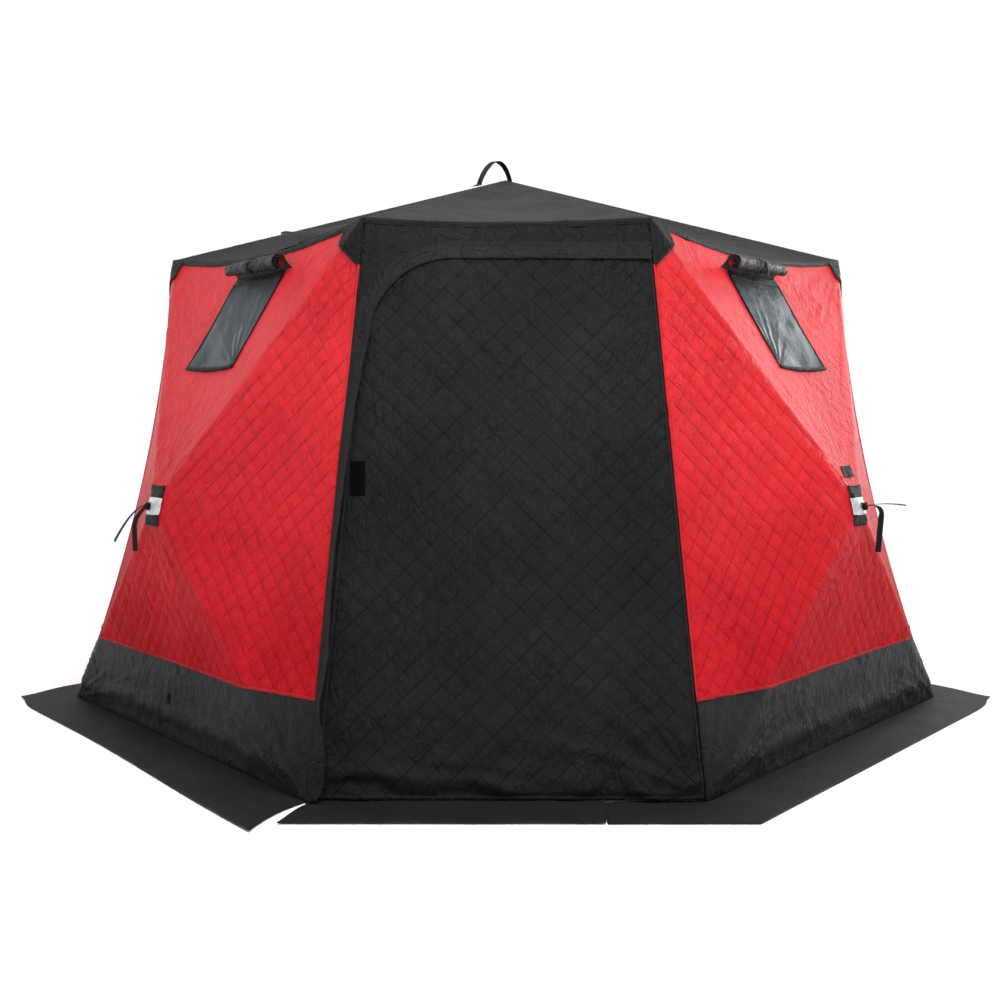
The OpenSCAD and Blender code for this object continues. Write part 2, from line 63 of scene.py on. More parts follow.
SEEDS = {wall[3]: 300 + 200 * number for number, wall in enumerate(WALLS)}  # first noise seed of each hub wall

QUILT_N = 8  # lattice steps along one side of a quilting square's diagonal
STEP = 0.0109  # lattice step of the quilted cloth
CLOTH_TH, STITCHED_TH, HEM_TH, TAPE_TH = 0.0025, 0.0016, 0.002, 0.0012  # main cloth, sewn-on pieces, hems, narrow tapes
EDGE_SEAM_DROP = 0.165  # how far below the eave the corner pipings change from red to black


def cosd(a):
    return math.cos(math.radians(a))


def sind(a):
    return math.sin(math.radians(a))


HALF_A = (90 - DOOR_HALF) / 2
LEAN = math.degrees(math.atan((BASE_R - TOP_R) * cosd(HALF_A) / WALL_H))
DOOR_LEAN = math.degrees(math.atan((BASE_R - TOP_R) * cosd(DOOR_HALF) / WALL_H))
HUB_V, WALL_V, DOOR_V = HUB_Z / cosd(LEAN), WALL_H / cosd(LEAN), WALL_H / cosd(DOOR_LEAN)
BASE_U, TOP_U = BASE_R * sind(HALF_A), TOP_R * sind(HALF_A)
TAPER = (BASE_U - TOP_U) / WALL_V


# ---------------------------------------------------------------- small maths

UP = np.array([0.0, 0.0, 1.0])


def polar(r, a, z):
    """The point at radius r, azimuth a in degrees and height z; azimuth 0 is the front door."""
    a = np.radians(a)
    r, z = np.asarray(r, float), np.asarray(z, float)
    return np.stack(np.broadcast_arrays(r * np.sin(a), -r * np.cos(a), z), -1)


def edge_r(z):
    """Radius of the corners at a height."""
    return BASE_R - (BASE_R - TOP_R) * z / WALL_H


def hump(t):
    """0 at 0 and 1, 1 in the middle."""
    return 4 * t * (1 - t)


def seam(a, z):
    """Points of a corner seam at heights z."""
    bow = BOW if bowed(a) else 0.0
    return polar(edge_r(z) - bow * hump(z / WALL_H), a, z)


def mix(p, q, t):
    """From p to q by t."""
    return p + (q - p) * np.asarray(t)[..., None] if np.ndim(t) else p + (q - p) * t


def smooth(lo, hi, x):
    t = np.clip((np.asarray(x, float) - lo) / (hi - lo), 0, 1)
    return t * t * (3 - 2 * t)


def unit(v):
    v = np.asarray(v, float)
    return v / np.maximum(np.linalg.norm(v, axis=-1, keepdims=True), 1e-12)


def run_of(points):
    """Distance along a path at each of its points."""
    return np.concatenate([[0], np.cumsum(np.linalg.norm(np.diff(points, axis=0), axis=1))])


def flat_uv(u, v):
    """Cloth coordinates, u across and v along, as points."""
    return np.stack([u, v, np.zeros_like(u)], -1)


def bowed(a):
    """The two side corners bow inwards between the base and the eave; the four beside the doors are straight."""
    return abs(cosd(a)) < 0.02


_tables = {}


def noise(x, y, seed):
    """Smooth gradient noise, about -1 to 1, one cell per unit."""
    if seed not in _tables:
        a = np.random.RandomState(seed).uniform(0, 2 * np.pi, (64, 64))
        _tables[seed] = np.cos(a), np.sin(a)
    gx, gy = _tables[seed]
    x, y = np.asarray(x, float), np.asarray(y, float)
    xi, yi = np.floor(x).astype(int), np.floor(y).astype(int)
    fx, fy = x - xi, y - yi

    def corner(i, j):
        a, b = (xi + i) & 63, (yi + j) & 63
        return gx[a, b] * (fx - i) + gy[a, b] * (fy - j)

    sx, sy = fx**3 * (fx * (6 * fx - 15) + 10), fy**3 * (fy * (6 * fy - 15) + 10)
    low = corner(0, 0) * (1 - sx) + corner(1, 0) * sx
    high = corner(0, 1) * (1 - sx) + corner(1, 1) * sx
    return 1.45 * (low * (1 - sy) + high * sy)


def ridge(x, y, seed, sharp=3):
    """Noise with sharp crests, 0 to 1."""
    return (1 - np.minimum(1, np.abs(noise(x, y, seed)))) ** sharp


def crumple(u, v, seed, size=0.11):
    """Creases of handled cloth, 0 to about 1, with sharp crests."""
    wx, wy = noise(u / size, v / size, seed) * 0.6, noise(u / size + 9, v / size + 5, seed) * 0.6
    a = ridge(u / size + wx, v / size + wy, seed + 1, 5)
    b = ridge(u / size * 2.3 + wy, v / size * 2.3 - wx, seed + 2, 4)
    return (0.65 * a + 0.35 * b) * (0.35 + 0.65 * smooth(-0.3, 0.5, noise(u / 0.33, v / 0.33, seed + 3)))


def fan(u, v, cu, cv, seed, count, reach, start=0.05):
    """Folds that spread from one point and die away."""
    du, dv = u - cu, v - cv
    r = np.hypot(du, dv) + 1e-6
    phi = np.arctan2(dv, du)
    return noise(phi * count, r / 0.9 + 3, seed) * smooth(0, start, r) * np.exp(-r / reach)


def quilt_weights(u, v, cu, cv):
    """How strongly each family of quilting lines pulls in. The family along the tension to a point is the stronger."""
    du, dv = u - cu, v - cv
    r2 = du * du + dv * dv + 1e-4
    p = (du - dv) ** 2 / (2 * r2)
    return 0.68 + 0.32 * smooth(0.2, 0.9, p), 0.68 + 0.32 * smooth(0.2, 0.9, 1 - p)


def quilting(u, v, wp, wq, power=0.45):
    """0 on the sewn lines, 1 in the middle of a square."""
    a = np.abs(np.sin(np.pi * (u + v) / (QUILT_N * STEP)))
    b = np.abs(np.sin(np.pi * (u - v) / (QUILT_N * STEP)))
    return (1 - wp * (1 - a**power)) * (1 - wq * (1 - b**power))


# ---------------------------------------------------------------- meshes

def make_object(name, points, faces, material, cloth=None, tone=None):
    """A mesh object from points and a list of face arrays, one array for each number of corners."""
    mesh = bpy.data.meshes.new(name)
    faces = [np.asarray(f, np.int32) for f in faces if len(f)]
    points = np.asarray(points, np.float32)
    mesh.vertices.add(len(points))
    mesh.vertices.foreach_set("co", points.ravel())
    corners = np.concatenate([f.ravel() for f in faces])
    sizes = np.concatenate([np.full(len(f), f.shape[1]) for f in faces])
    mesh.loops.add(len(corners))
    mesh.polygons.add(len(sizes))
    mesh.loops.foreach_set("vertex_index", corners)
    mesh.polygons.foreach_set("loop_start", np.concatenate([[0], np.cumsum(sizes)[:-1]]).astype(np.int32))
    mesh.update(calc_edges=True)
    mesh.validate()
    mesh.polygons.foreach_set("use_smooth", np.full(len(mesh.polygons), True))
    for label, values in (("cloth", cloth), ("tone", tone)):
        if values is not None:
            layer = mesh.attributes.new(label, "FLOAT_VECTOR", "POINT")
            layer.data.foreach_set("vector", np.asarray(values, np.float32).ravel())
    obj = bpy.data.objects.new(name, mesh)
    bpy.context.scene.collection.objects.link(obj)
    for m in material if isinstance(material, (list, tuple)) else [material]:
        mesh.materials.append(m)
    return obj


def face_normals(points, faces):
    """Normals of points, from the faces around them."""
    normals = np.zeros_like(points)
    for f in faces:
        n = np.cross(points[f[:, 2]] - points[f[:, 0]], points[f[:, -1]] - points[f[:, 1]]) if f.shape[1] == 4 \
            else np.cross(points[f[:, 1]] - points[f[:, 0]], points[f[:, 2]] - points[f[:, 0]])
        for k in range(f.shape[1]):
            np.add.at(normals, f[:, k], n)
    return unit(normals)


def rim_edges(faces):
    """Directed edges that only one face has."""
    edges = np.concatenate([np.stack([f[:, k], f[:, (k + 1) % f.shape[1]]],
                                     1) for f in faces for k in range(f.shape[1])])
    key = np.sort(edges, 1)
    key = key[:, 0].astype(np.int64) * 10_000_000 + key[:, 1]
    _, index, count = np.unique(key, return_index=True, return_counts=True)
    return edges[index[count == 1]]


def shell(name, points, faces, material, cloth, tone=None, inner=None, lining=None):
    """A closed sheet: the outer points, the inner points (CLOTH_TH further in unless given), and a rim between them."""
    faces = [np.asarray(f, np.int64) for f in faces if len(f)]
    n = len(points)
    if inner is None:
        inner = points - face_normals(points, faces) * CLOTH_TH
    rim = rim_edges(faces)
    rim = np.stack([rim[:, 1], rim[:, 0], rim[:, 0] + n, rim[:, 1] + n], 1)
    all_faces = faces + [f[:, ::-1] + n for f in faces] + [rim]
    twice = lambda x: None if x is None else np.concatenate([x, x])
    looks = [material, lining] if lining else material
    obj = make_object(name, np.concatenate([points, inner]), all_faces, looks, twice(cloth), twice(tone))
    if lining:
        count = sum(len(f) for f in faces)
        sides = np.repeat([0, 1, 0], [count, count, len(obj.data.polygons) - 2 * count])
        obj.data.polygons.foreach_set("material_index", sides.astype(np.int32))
    return obj


def three_corners(tris):
    """The triangles whose corners are three different points."""
    return tris[(tris[:, 0] != tris[:, 1]) & (tris[:, 1] != tris[:, 2]) & (tris[:, 0] != tris[:, 2])]


def grid_faces(rows, cols, wrap=False):
    """Quads between the points of a grid."""
    i = np.arange(cols if wrap else cols - 1)
    j = np.arange(rows - 1)[:, None]
    a, b = j * cols + i, j * cols + (i + 1) % cols
    return np.stack([a, b, b + cols, a + cols], -1).reshape(-1, 4)


def grid_shell(name, grid, inner, cloth, material, way=None, at=(0, 0), lining=None):
    """A closed sheet between two grids of points. Its faces are turned to face the given way at one of its quads."""
    faces = grid_faces(*grid.shape[:2])
    j, i = at
    if way is not None and np.dot(np.cross(grid[j, i + 1] - grid[j, i], grid[j + 1, i] - grid[j, i]), way) < 0:
        faces = faces[:, ::-1]
    return shell(name, grid.reshape(-1, 3), [faces], material, cloth.reshape(-1, 3), None, inner.reshape(-1, 3), lining)


def lattice(u0, u1, v0, v1, clip, hole=None, step=STEP):
    """A square lattice of triangles clipped to an outline. Its diagonals run along the quilting lines."""
    iu = np.arange(math.floor(u0 / step), math.ceil(u1 / step) + 1)
    jv = np.arange(math.floor(v0 / step), math.ceil(v1 / step) + 1)
    grid_i, grid_j = np.meshgrid(iu, jv)
    u, v = clip(grid_i * step, grid_j * step)
    if hole is not None:
        hu0, hu1, hv0, hv1, lean = hole
        shift = lambda y: lean * (y - (hv0 + hv1) / 2)
        for lo in (hv0, hv1):
            near = (np.abs(v - lo) < step / 2) & (u - shift(v) > hu0 - step) & (u - shift(v) < hu1 + step)
            v = np.where(near, lo, v)
        for lo in (hu0, hu1):
            near = (np.abs(u - shift(v) - lo) <= step / 2) & (v > hv0 - step / 2) & (v < hv1 + step / 2)
            u = np.where(near, lo + shift(v), u)
    key = np.round(u * 1e5).astype(np.int64) * 1_000_000_000 + np.round(v * 1e5).astype(np.int64)
    _, first, ids = np.unique(key.ravel(), return_index=True, return_inverse=True)
    ids = ids.reshape(u.shape)
    uu, vv = u.ravel()[first], v.ravel()[first]
    a, b, c, d = ids[:-1, :-1], ids[:-1, 1:], ids[1:, 1:], ids[1:, :-1]
    gi, gj = grid_i[:-1, :-1], grid_j[:-1, :-1]
    rising = (gi - gj) % QUILT_N == 0
    falling = (gi + gj + 1) % QUILT_N == 0
    split_ac = rising | (~falling & ((gi + gj) % 2 == 0))
    tris = np.concatenate([
        np.stack([a, b, np.where(split_ac, c, d)], -1).reshape(-1, 3),
        np.stack([np.where(split_ac, a, b), c, d], -1).reshape(-1, 3),
    ])
    tris = three_corners(tris)
    area = (uu[tris[:, 1]] - uu[tris[:, 0]]) * (vv[tris[:, 2]] - vv[tris[:, 0]]) \
        - (uu[tris[:, 2]] - uu[tris[:, 0]]) * (vv[tris[:, 1]] - vv[tris[:, 0]])
    tris = tris[area > 1e-8]
    if hole is not None:
        mu, mv = uu[tris].mean(1), vv[tris].mean(1)
        mu = mu - shift(mv)
        tris = tris[~((mu > hu0) & (mu < hu1) & (mv > hv0) & (mv < hv1))]
    used, tris = np.unique(tris, return_inverse=True)
    return uu[used], vv[used], tris.reshape(-1, 3)


def lifted(surface, u, v, lift):
    """Points on a surface moved out along its normal, and the normals."""
    e = 0.004
    p = surface(u, v)
    n = unit(np.cross(surface(u + e, v) - surface(u - e, v), surface(u, v + e) - surface(u, v - e)))
    return p + n * np.asarray(lift)[..., None], n


# ---------------------------------------------------------------- the shelter's surfaces

def wall_az(w):
    """Azimuth of the middle of a hub wall."""
    return (w[0] + w[1]) / 2


def plane_frame(az, lean, r):
    """A wall plane's foot, its u and v directions, and its outward normal."""
    n = np.array([sind(az) * cosd(lean), -cosd(az) * cosd(lean), sind(lean)])
    x = np.array([cosd(az), sind(az), 0.0])
    return polar(r, az, 0.0), x, np.cross(n, x), n


def wall_frame(w):
    return plane_frame(wall_az(w), LEAN, BASE_R * cosd(HALF_A))


def in_frame(f, u, v, n=0.0):
    """Points u across, v up and n out from a wall plane."""
    u, v, n = np.broadcast_arrays(*(np.asarray(x, float) for x in (u, v, n)))
    return f[0] + u[..., None] * f[1] + v[..., None] * f[2] + n[..., None] * f[3]


def wall_share(u, v):
    """0 at the hub to 1 at the edge, for each of the wall's four edges."""
    du, dv = u, v - HUB_V
    side = BASE_U - TAPER * HUB_V
    return np.stack([-dv / HUB_V, dv / (WALL_V - HUB_V), (du + TAPER * dv) / side, (-du + TAPER * dv) / side])


def wall_surface(w):
    """The popped-out cloth of hub wall w: u across and v up its plane, as a function that gives points."""
    f = wall_frame(w)
    ease = 0.007  # how softly one facet turns into the next

    def at(u, v):
        u, v = np.asarray(u, float), np.asarray(v, float)
        g = wall_share(u, v)
        order = np.sort(g, 0)
        hard = np.clip(order[-1], 1e-5, None)
        soft = ease * np.log(np.exp((g - hard) / ease).sum(0)) + hard
        share = hard + (soft - hard) * np.clip(1 - hard**8, 0, 1)
        which = g.argmax(0)
        qu, qv = u / hard, HUB_V + (v - HUB_V) / hard
        side_hump = hump(np.clip(qv / WALL_V, 0, 1))
        move = np.zeros(u.shape + (3,))
        for edge, a in ((2, w[1]), (3, w[0])):
            if bowed(a):
                move += np.where(which == edge, side_hump, 0)[..., None] * polar(-BOW, a, 0.0)
        top = np.where(which == 1, hump(np.clip((qu + TOP_U) / (2 * TOP_U), 0, 1)), 0)
        move[..., 2] -= DROOP * top
        between = np.clip((order[-1] - order[-2]) * 2.2, 0, 1)
        sag = 0.011 * hump(np.clip(share, 0, 1)) * between
        return in_frame(f, u, v, POP * (1 - share) - sag) + np.clip(hard, 0, 1)[..., None] * move

    return at


def smooth_facets(w, u, v):
    """1 on the facet above the hub and the one away from the door, which are pulled smooth; 0 on the other two."""
    g = wall_share(u, v)
    outer = 3 if w[2] > 0 else 2
    calm, loose = np.maximum(g[1], g[outer]), np.maximum(g[0], g[5 - outer])
    return smooth(-0.02, 0.03, calm - loose)


def wall_puff(w, u, v, seed, flat=1.0):
    """How far the quilted cloth of a hub wall stands off its sewn lines."""
    g = wall_share(u, v)
    out = g.max(0)
    edge = 1 - np.exp(-np.clip(1 - out, 0, 1) / 0.012)
    wp, wq = quilt_weights(u, v, 0.0, HUB_V)
    q = quilting(u, v, wp, wq)
    folds = 0.0060 * fan(u, v, 0.0, HUB_V, seed, 13, 0.34)
    for s in (-1, 1):
        folds += 0.0085 * fan(u, v, s * TOP_U, WALL_V, seed + 7 + s, 15, 0.42)
        folds += 0.0065 * fan(u, v, s * BASE_U, 0.0, seed + 17 + s, 15, 0.36)
    off_window = np.maximum(np.abs(u - w[2] * (WIN_OFF + WIN_LEAN * (v - WIN_V))) - WIN_W / 2,
                            np.abs(v - WIN_V) - WIN_H / 2)
    near_window = smooth(0.10, 0.0, off_window)
    side_edge = smooth(0.0, 0.10, 1 - out)
    near_hub = smooth(0.16, 0.07, np.hypot(u, v - HUB_V))
    near_patch = smooth(0.24, 0.14, np.hypot(np.abs(u) - TOP_U, v - WALL_V))
    calm = (1 - 0.75 * near_window) * (1 - 0.9 * near_hub) * (1 - 0.75 * near_patch)
    rough = crumple(u, v, seed + 40)
    slow = noise(u / 0.42, v / 0.42, seed + 60)
    pulled = smooth_facets(w, u, v)
    calm = calm * (1 - 0.45 * pulled)
    flat = flat * (1 - 0.6 * pulled)
    return (0.0068 * q * (0.7 + 0.45 * noise(u / 0.2, v / 0.2, seed + 50)) * calm * flat * (0.2 + 0.8 * side_edge)
            + edge * (0.003 + 1.2 * folds * calm + 0.0085 * rough * calm + 0.003 * slow)) * np.clip(0.15 + edge, 0, 1)


def door_frame(az):
    return plane_frame(az, DOOR_LEAN, BASE_R * cosd(DOOR_HALF))


def door_edge_u(v):
    """Half the width of a door wall at a height up its plane."""
    return (BASE_R - (BASE_R - TOP_R) * np.asarray(v, float) / DOOR_V) * sind(DOOR_HALF)


def eave(a, b, t, droop):
    """Points along the eave between two corners, with its droop."""
    return mix(polar(TOP_R, a, WALL_H), polar(TOP_R, b, WALL_H), t) - np.multiply.outer(hump(np.asarray(t, float)),
                                                                                        [0, 0, droop])


# ---------------------------------------------------------------- materials

class Shader:
    """Short names for building a node material."""

    def __init__(self, name, base, rough, **sockets):
        self.mat = bpy.data.materials.new(name)
        self.mat.use_nodes = True
        self.mat.diffuse_color = (*base, 1)
        self.nodes, self.links = self.mat.node_tree.nodes, self.mat.node_tree.links
        self.bsdf = self.nodes["Principled BSDF"]
        self.bsdf.inputs["Base Color"].default_value = (*base, 1)
        self.bsdf.inputs["Roughness"].default_value = rough
        for key, value in sockets.items():
            self.bsdf.inputs[key.replace("_", " ")].default_value = value

    def node(self, kind, **settings):
        n = self.nodes.new(kind)
        for key, value in settings.items():
            setattr(n, key, value)
        return n

    def link(self, a, b):
        self.links.new(a, b)

    def attribute(self, name):
        return self.node("ShaderNodeAttribute", attribute_name=name).outputs["Vector"]

    def math(self, op, a, b=None, c=None):
        n = self.node("ShaderNodeMath", operation=op)
        for i, x in enumerate((a, b, c)):
            if x is None:
                continue
            if isinstance(x, (int, float)):
                n.inputs[i].default_value = x
            else:
                self.link(x, n.inputs[i])
        return n.outputs[0]

    def split(self, vector):
        n = self.node("ShaderNodeSeparateXYZ")
        self.link(vector, n.inputs[0])
        return n.outputs

    def coords(self, scale=(1, 1, 1)):
        n = self.node("ShaderNodeMapping")
        n.inputs["Scale"].default_value = scale
        self.link(self.node("ShaderNodeTexCoord").outputs["Object"], n.inputs["Vector"])
        return n.outputs[0]

    def noise(self, vector, scale, detail=3.0, rough=0.55, distortion=0.0):
        n = self.node("ShaderNodeTexNoise")
        n.inputs["Scale"].default_value = scale
        n.inputs["Detail"].default_value = detail
        n.inputs["Roughness"].default_value = rough
        n.inputs["Distortion"].default_value = distortion
        self.link(vector, n.inputs["Vector"])
        return n.outputs["Fac"]

    def ramp(self, x, lo, hi, out_lo=0.0, out_hi=1.0):
        n = self.node("ShaderNodeMapRange", interpolation_type="SMOOTHSTEP")
        for i, value in ((1, lo), (2, hi), (3, out_lo), (4, out_hi)):
            n.inputs[i].default_value = value
        self.link(x, n.inputs[0])
        return n.outputs[0]

    def tint(self, factor, dark, light):
        n = self.node("ShaderNodeMix", data_type="RGBA")
        n.inputs["A"].default_value = (*dark, 1)
        n.inputs["B"].default_value = (*light, 1)
        self.link(factor, n.inputs["Factor"])
        return n.outputs["Result"]

    def darken(self, colour, factor, strength=1.0):
        """colour times (1 - strength * factor)."""
        k = self.math("SUBTRACT", 1.0, self.math("MULTIPLY", factor, strength))
        n = self.node("ShaderNodeVectorMath", operation="SCALE")
        self.link(colour, n.inputs[0])
        self.link(k, n.inputs["Scale"])
        return n.outputs[0]

    def finish(self, colour=None, rough=None, height=None, strength=0.5, distance=0.002):
        if colour is not None:
            self.link(colour, self.bsdf.inputs["Base Color"])
        if rough is not None:
            self.link(rough, self.bsdf.inputs["Roughness"])
        if height is not None:
            bump = self.node("ShaderNodeBump")
            bump.inputs["Strength"].default_value = strength
            bump.inputs["Distance"].default_value = distance
            self.link(height, bump.inputs["Height"])
            self.link(bump.outputs[0], self.bsdf.inputs["Normal"])
        return self.mat


def weave(s, uv, pitch=0.0016):
    """Height of a plain weave, 0 to 1, in cloth coordinates."""
    x, y = uv[0], uv[1]
    a = s.math("SINE", s.math("MULTIPLY", x, 2 * math.pi / pitch))
    b = s.math("SINE", s.math("MULTIPLY", y, 2 * math.pi / pitch))
    return s.math("MULTIPLY_ADD", s.math("MULTIPLY", a, b), 0.5, 0.5)


def fold_lines(s, vector, scale, width):
    """Fine crease lines, 1 on a crease."""
    n = s.noise(vector, scale, 2.0, 0.5, 0.6)
    away = s.math("ABSOLUTE", s.math("SUBTRACT", n, 0.5))
    return s.ramp(away, 0.0, width, 1.0, 0.0)


def cloth_material(name, dark, light, rough, quilted=True, crease=0.35, groove_shade=0.45, specular=0.15, weave_bump=0.12,
                   wrinkle=0.8, wrinkle_scale=(42.0, 15.0), shade=1.0):
    """Woven polyester: colour drifts, creases, small wrinkles, a fine weave, and quilting lines where it is quilted.
    Painted shade darkens its creases, folds and quilting lines.
    shade sets a painted shade and sheen: below 1 the cloth darkens towards the ground and its specular falls there,
    standing in for the light from above."""
    s = Shader(name, light, rough, Specular_IOR_Level=specular)
    place = s.coords()
    colour = s.tint(s.ramp(s.noise(place, 2.2, 4.0), 0.35, 0.65), dark, light)
    if shade < 1:
        # painted shade: the cloth darkens towards the ground; painted sheen: the specular level rises with height
        painted_shade_down = s.ramp(s.split(place)[2], 0.25, 1.35, 1.0, 0.0)
        colour = s.darken(colour, painted_shade_down, 1 - shade)
        s.link(s.ramp(s.split(place)[2], 0.3, 1.7, 0.02, specular), s.bsdf.inputs["Specular IOR Level"])
    creases = fold_lines(s, place, 9.0, 0.028)
    fine = fold_lines(s, place, 24.0, 0.05)
    tiny = fold_lines(s, place, 60.0, 0.09)
    speck = s.noise(place, 420.0, 2.0)
    cloth = s.attribute("cloth")
    uv = s.split(cloth)
    stretch = s.node("ShaderNodeMapping")
    stretch.inputs["Scale"].default_value = (*wrinkle_scale, 1)
    s.link(cloth, stretch.inputs["Vector"])
    long_folds = s.math("MULTIPLY", fold_lines(s, stretch.outputs[0], 1.0, 0.16),
                        s.ramp(s.noise(place, 5.0, 2.0), 0.38, 0.6))
    height = s.math("MULTIPLY", s.math("MAXIMUM", creases, s.math("MULTIPLY", fine, 0.55)), crease)
    height = s.math("MULTIPLY_ADD", tiny, 0.16 * crease, height)
    height = s.math("MULTIPLY_ADD", long_folds, wrinkle, height)
    height = s.math("MULTIPLY_ADD", weave(s, uv), weave_bump, height)
    if quilted:
        tone = s.split(s.attribute("tone"))
        total = None
        for sign, share in ((1, tone[0]), (-1, tone[1])):
            along = s.math("MULTIPLY_ADD", uv[1], float(sign), uv[0])
            wave = s.math("ABSOLUTE", s.math("SINE", s.math("MULTIPLY", along, math.pi / (QUILT_N * STEP))))
            line = s.math("MULTIPLY", s.ramp(wave, 0.0, 0.085, 1.0, 0.0), share)
            total = line if total is None else s.math("MAXIMUM", total, line)
        broken = s.ramp(s.noise(place, 16.0, 2.0), 0.3, 0.62, 0.3, 1.0)
        total = s.math("MULTIPLY", total, broken)
        # painted shade: the quilting lines are darkened as the cloth dips into its sewn grooves
        colour = s.darken(colour, total, groove_shade)
        height = s.math("SUBTRACT", height, s.math("MULTIPLY", total, 1.1))
        # painted shade along the seams, from the third channel of tone
        colour = s.darken(colour, tone[2], 0.55)
    # painted shade in the creases and long folds
    colour = s.darken(colour,
                      s.math("MAXIMUM", s.math("MULTIPLY", creases, 0.5), s.math("MULTIPLY", long_folds, 0.3)), 0.22)
    roughness = s.ramp(speck, 0.3, 0.7, rough - 0.05, rough + 0.08)
    return s.finish(colour, roughness, height, 0.9, 0.0036)


def plain_cloth(name, dark, light, rough, **more):
    """Cloth without quilting."""
    return cloth_material(name, dark, light, rough, quilted=False, **more)


# shade=0.76 gives the red quilt its painted shade towards the ground and its painted sheen high up
RED = cloth_material("red_quilt", (0.50, 0.010, 0.016), (0.58, 0.014, 0.022), 0.5, specular=0.18, groove_shade=0.66,
                     crease=0.5, wrinkle=1.1, shade=0.76)
BLACK = cloth_material("black_quilt", (0.0050, 0.0050, 0.0054), (0.0085, 0.0085, 0.0092), 0.55, groove_shade=0.85,
                       specular=0.11, crease=0.45, wrinkle=1.0)
BAND = cloth_material("band_quilt", (0.0068, 0.0068, 0.0073), (0.0115, 0.0115, 0.0122), 0.48, groove_shade=0.5,
                      specular=0.16, crease=0.6, wrinkle=0.7,
                      wrinkle_scale=(60.0, 6.0))
ROOF = plain_cloth("roof_fabric", (0.0065, 0.0065, 0.007), (0.0105, 0.0105, 0.011), 0.6, specular=0.10, crease=0.35,
                   wrinkle=0.9, wrinkle_scale=(2.2, 95.0))
PATCH = plain_cloth("patch_fabric", (0.005, 0.005, 0.0055), (0.008, 0.008, 0.009), 0.55, specular=0.12, crease=0.8)
SKIRT = plain_cloth("skirt_fabric", (0.0075, 0.0075, 0.008), (0.0105, 0.0105, 0.011), 0.65, specular=0.12,
                    crease=0.25, wrinkle=0.15)
FLAP = plain_cloth("flap_fabric", (0.0055, 0.0055, 0.006), (0.009, 0.009, 0.010), 0.5, specular=0.13, crease=0.9,
                   wrinkle_scale=(20.0, 30.0))
COVER = plain_cloth("cover_fabric", (0.0045, 0.0045, 0.005), (0.009, 0.009, 0.0095), 0.42, specular=0.2, crease=1.2)
COVER_RED = plain_cloth("cover_lining", (0.30, 0.008, 0.013), (0.42, 0.011, 0.018), 0.5, specular=0.15, crease=0.7)


# ---------------------------------------------------------------- floor, light and camera

WORLD_LOW, WORLD_HIGH = 1.02, 0.25  # brightness of the surroundings at the horizon and overhead
FLOOR_R = 4.2  # radius of the ground disc


def add_light(name, where, aim, size, power):
    data = bpy.data.lights.new(name, "AREA")
    data.shape, data.size, data.size_y = "RECTANGLE", size[0], size[1]
    data.energy = power
    obj = bpy.data.objects.new(name, data)
    bpy.context.scene.collection.objects.link(obj)
    obj.location = where
    way = np.array(aim, float) - np.array(where, float)
    obj.rotation_euler = Vector(way).to_track_quat("-Z", "Y").to_euler()


def set_floor():
    shader = Shader("floor", (0.92, 0.92, 0.92), 0.9, Specular_IOR_Level=0.0)
    drift = shader.noise(shader.coords(), 0.6, 3.0)
    shader.finish(shader.tint(drift, (0.92, 0.92, 0.92), (0.94, 0.94, 0.94)))
    n = 96  # points round the disc
    k = np.arange(n)
    rings = [polar(r, 360.0 / n * k, 0.0) for r in (0.02, FLOOR_R)]
    middle = np.stack([k, (k + 1) % n, np.full(n, 2 * n)], 1)
    floor = make_object("floor", np.concatenate(rings + [np.zeros((1, 3))]),
                        [grid_faces(2, n, wrap=True)[:, ::-1], middle], shader.mat)


def set_world():
    scene = bpy.context.scene
    scene.view_settings.view_transform = "Standard"
    world = bpy.data.worlds.new("studio")
    scene.world = world
    world.use_nodes = True
    nodes, links = world.node_tree.nodes, world.node_tree.links
    split = nodes.new("ShaderNodeSeparateXYZ")
    links.new(nodes.new("ShaderNodeTexCoord").outputs["Generated"], split.inputs[0])
    fall = nodes.new("ShaderNodeMapRange")
    fall.interpolation_type = "SMOOTHSTEP"
    for i, value in ((1, 0.28), (2, 0.55), (3, WORLD_LOW), (4, WORLD_HIGH)):
        fall.inputs[i].default_value = value
    links.new(split.outputs[2], fall.inputs[0])
    links.new(fall.outputs[0], nodes["Background"].inputs["Strength"])
    nodes["Background"].inputs["Color"].default_value = (1, 1, 1, 1)


def set_lights():
    add_light("key", (0.6, -4.0, 5.6), (0, -1.2, 1.2), (5.0, 2.0), 440)
    add_light("top", (0.0, 1.5, 7.0), (0, 0, 1.0), (7, 7), 330)
    add_light("side_right", (5.6, 4.2, 2.8), (0.8, -0.6, 1.3), (3.0, 2.6), 220)
    add_light("side_left", (-5.6, 4.2, 2.6), (-0.8, -0.6, 1.3), (3.0, 2.6), 45)


def set_camera():
    lens = bpy.data.cameras.new("camera")
    lens.lens, lens.sensor_width, lens.sensor_fit = 52.78, 36.0, "HORIZONTAL"
    camera = bpy.data.objects.new("camera", lens)
    bpy.context.scene.collection.objects.link(camera)
    camera.location = (-0.0137, -6.707, 1.2906)
    camera.rotation_euler = (math.radians(90 - 3.21), 0, math.radians(0.1))
    bpy.context.scene.camera = camera


set_floor()
set_world()
set_lights()
set_camera()


# ---------------------------------------------------------------- builders for smaller pieces

def path_frame(points, normals):
    """Unit side vectors across a path that lies on a surface."""
    return unit(np.cross(np.gradient(points, axis=0), normals))


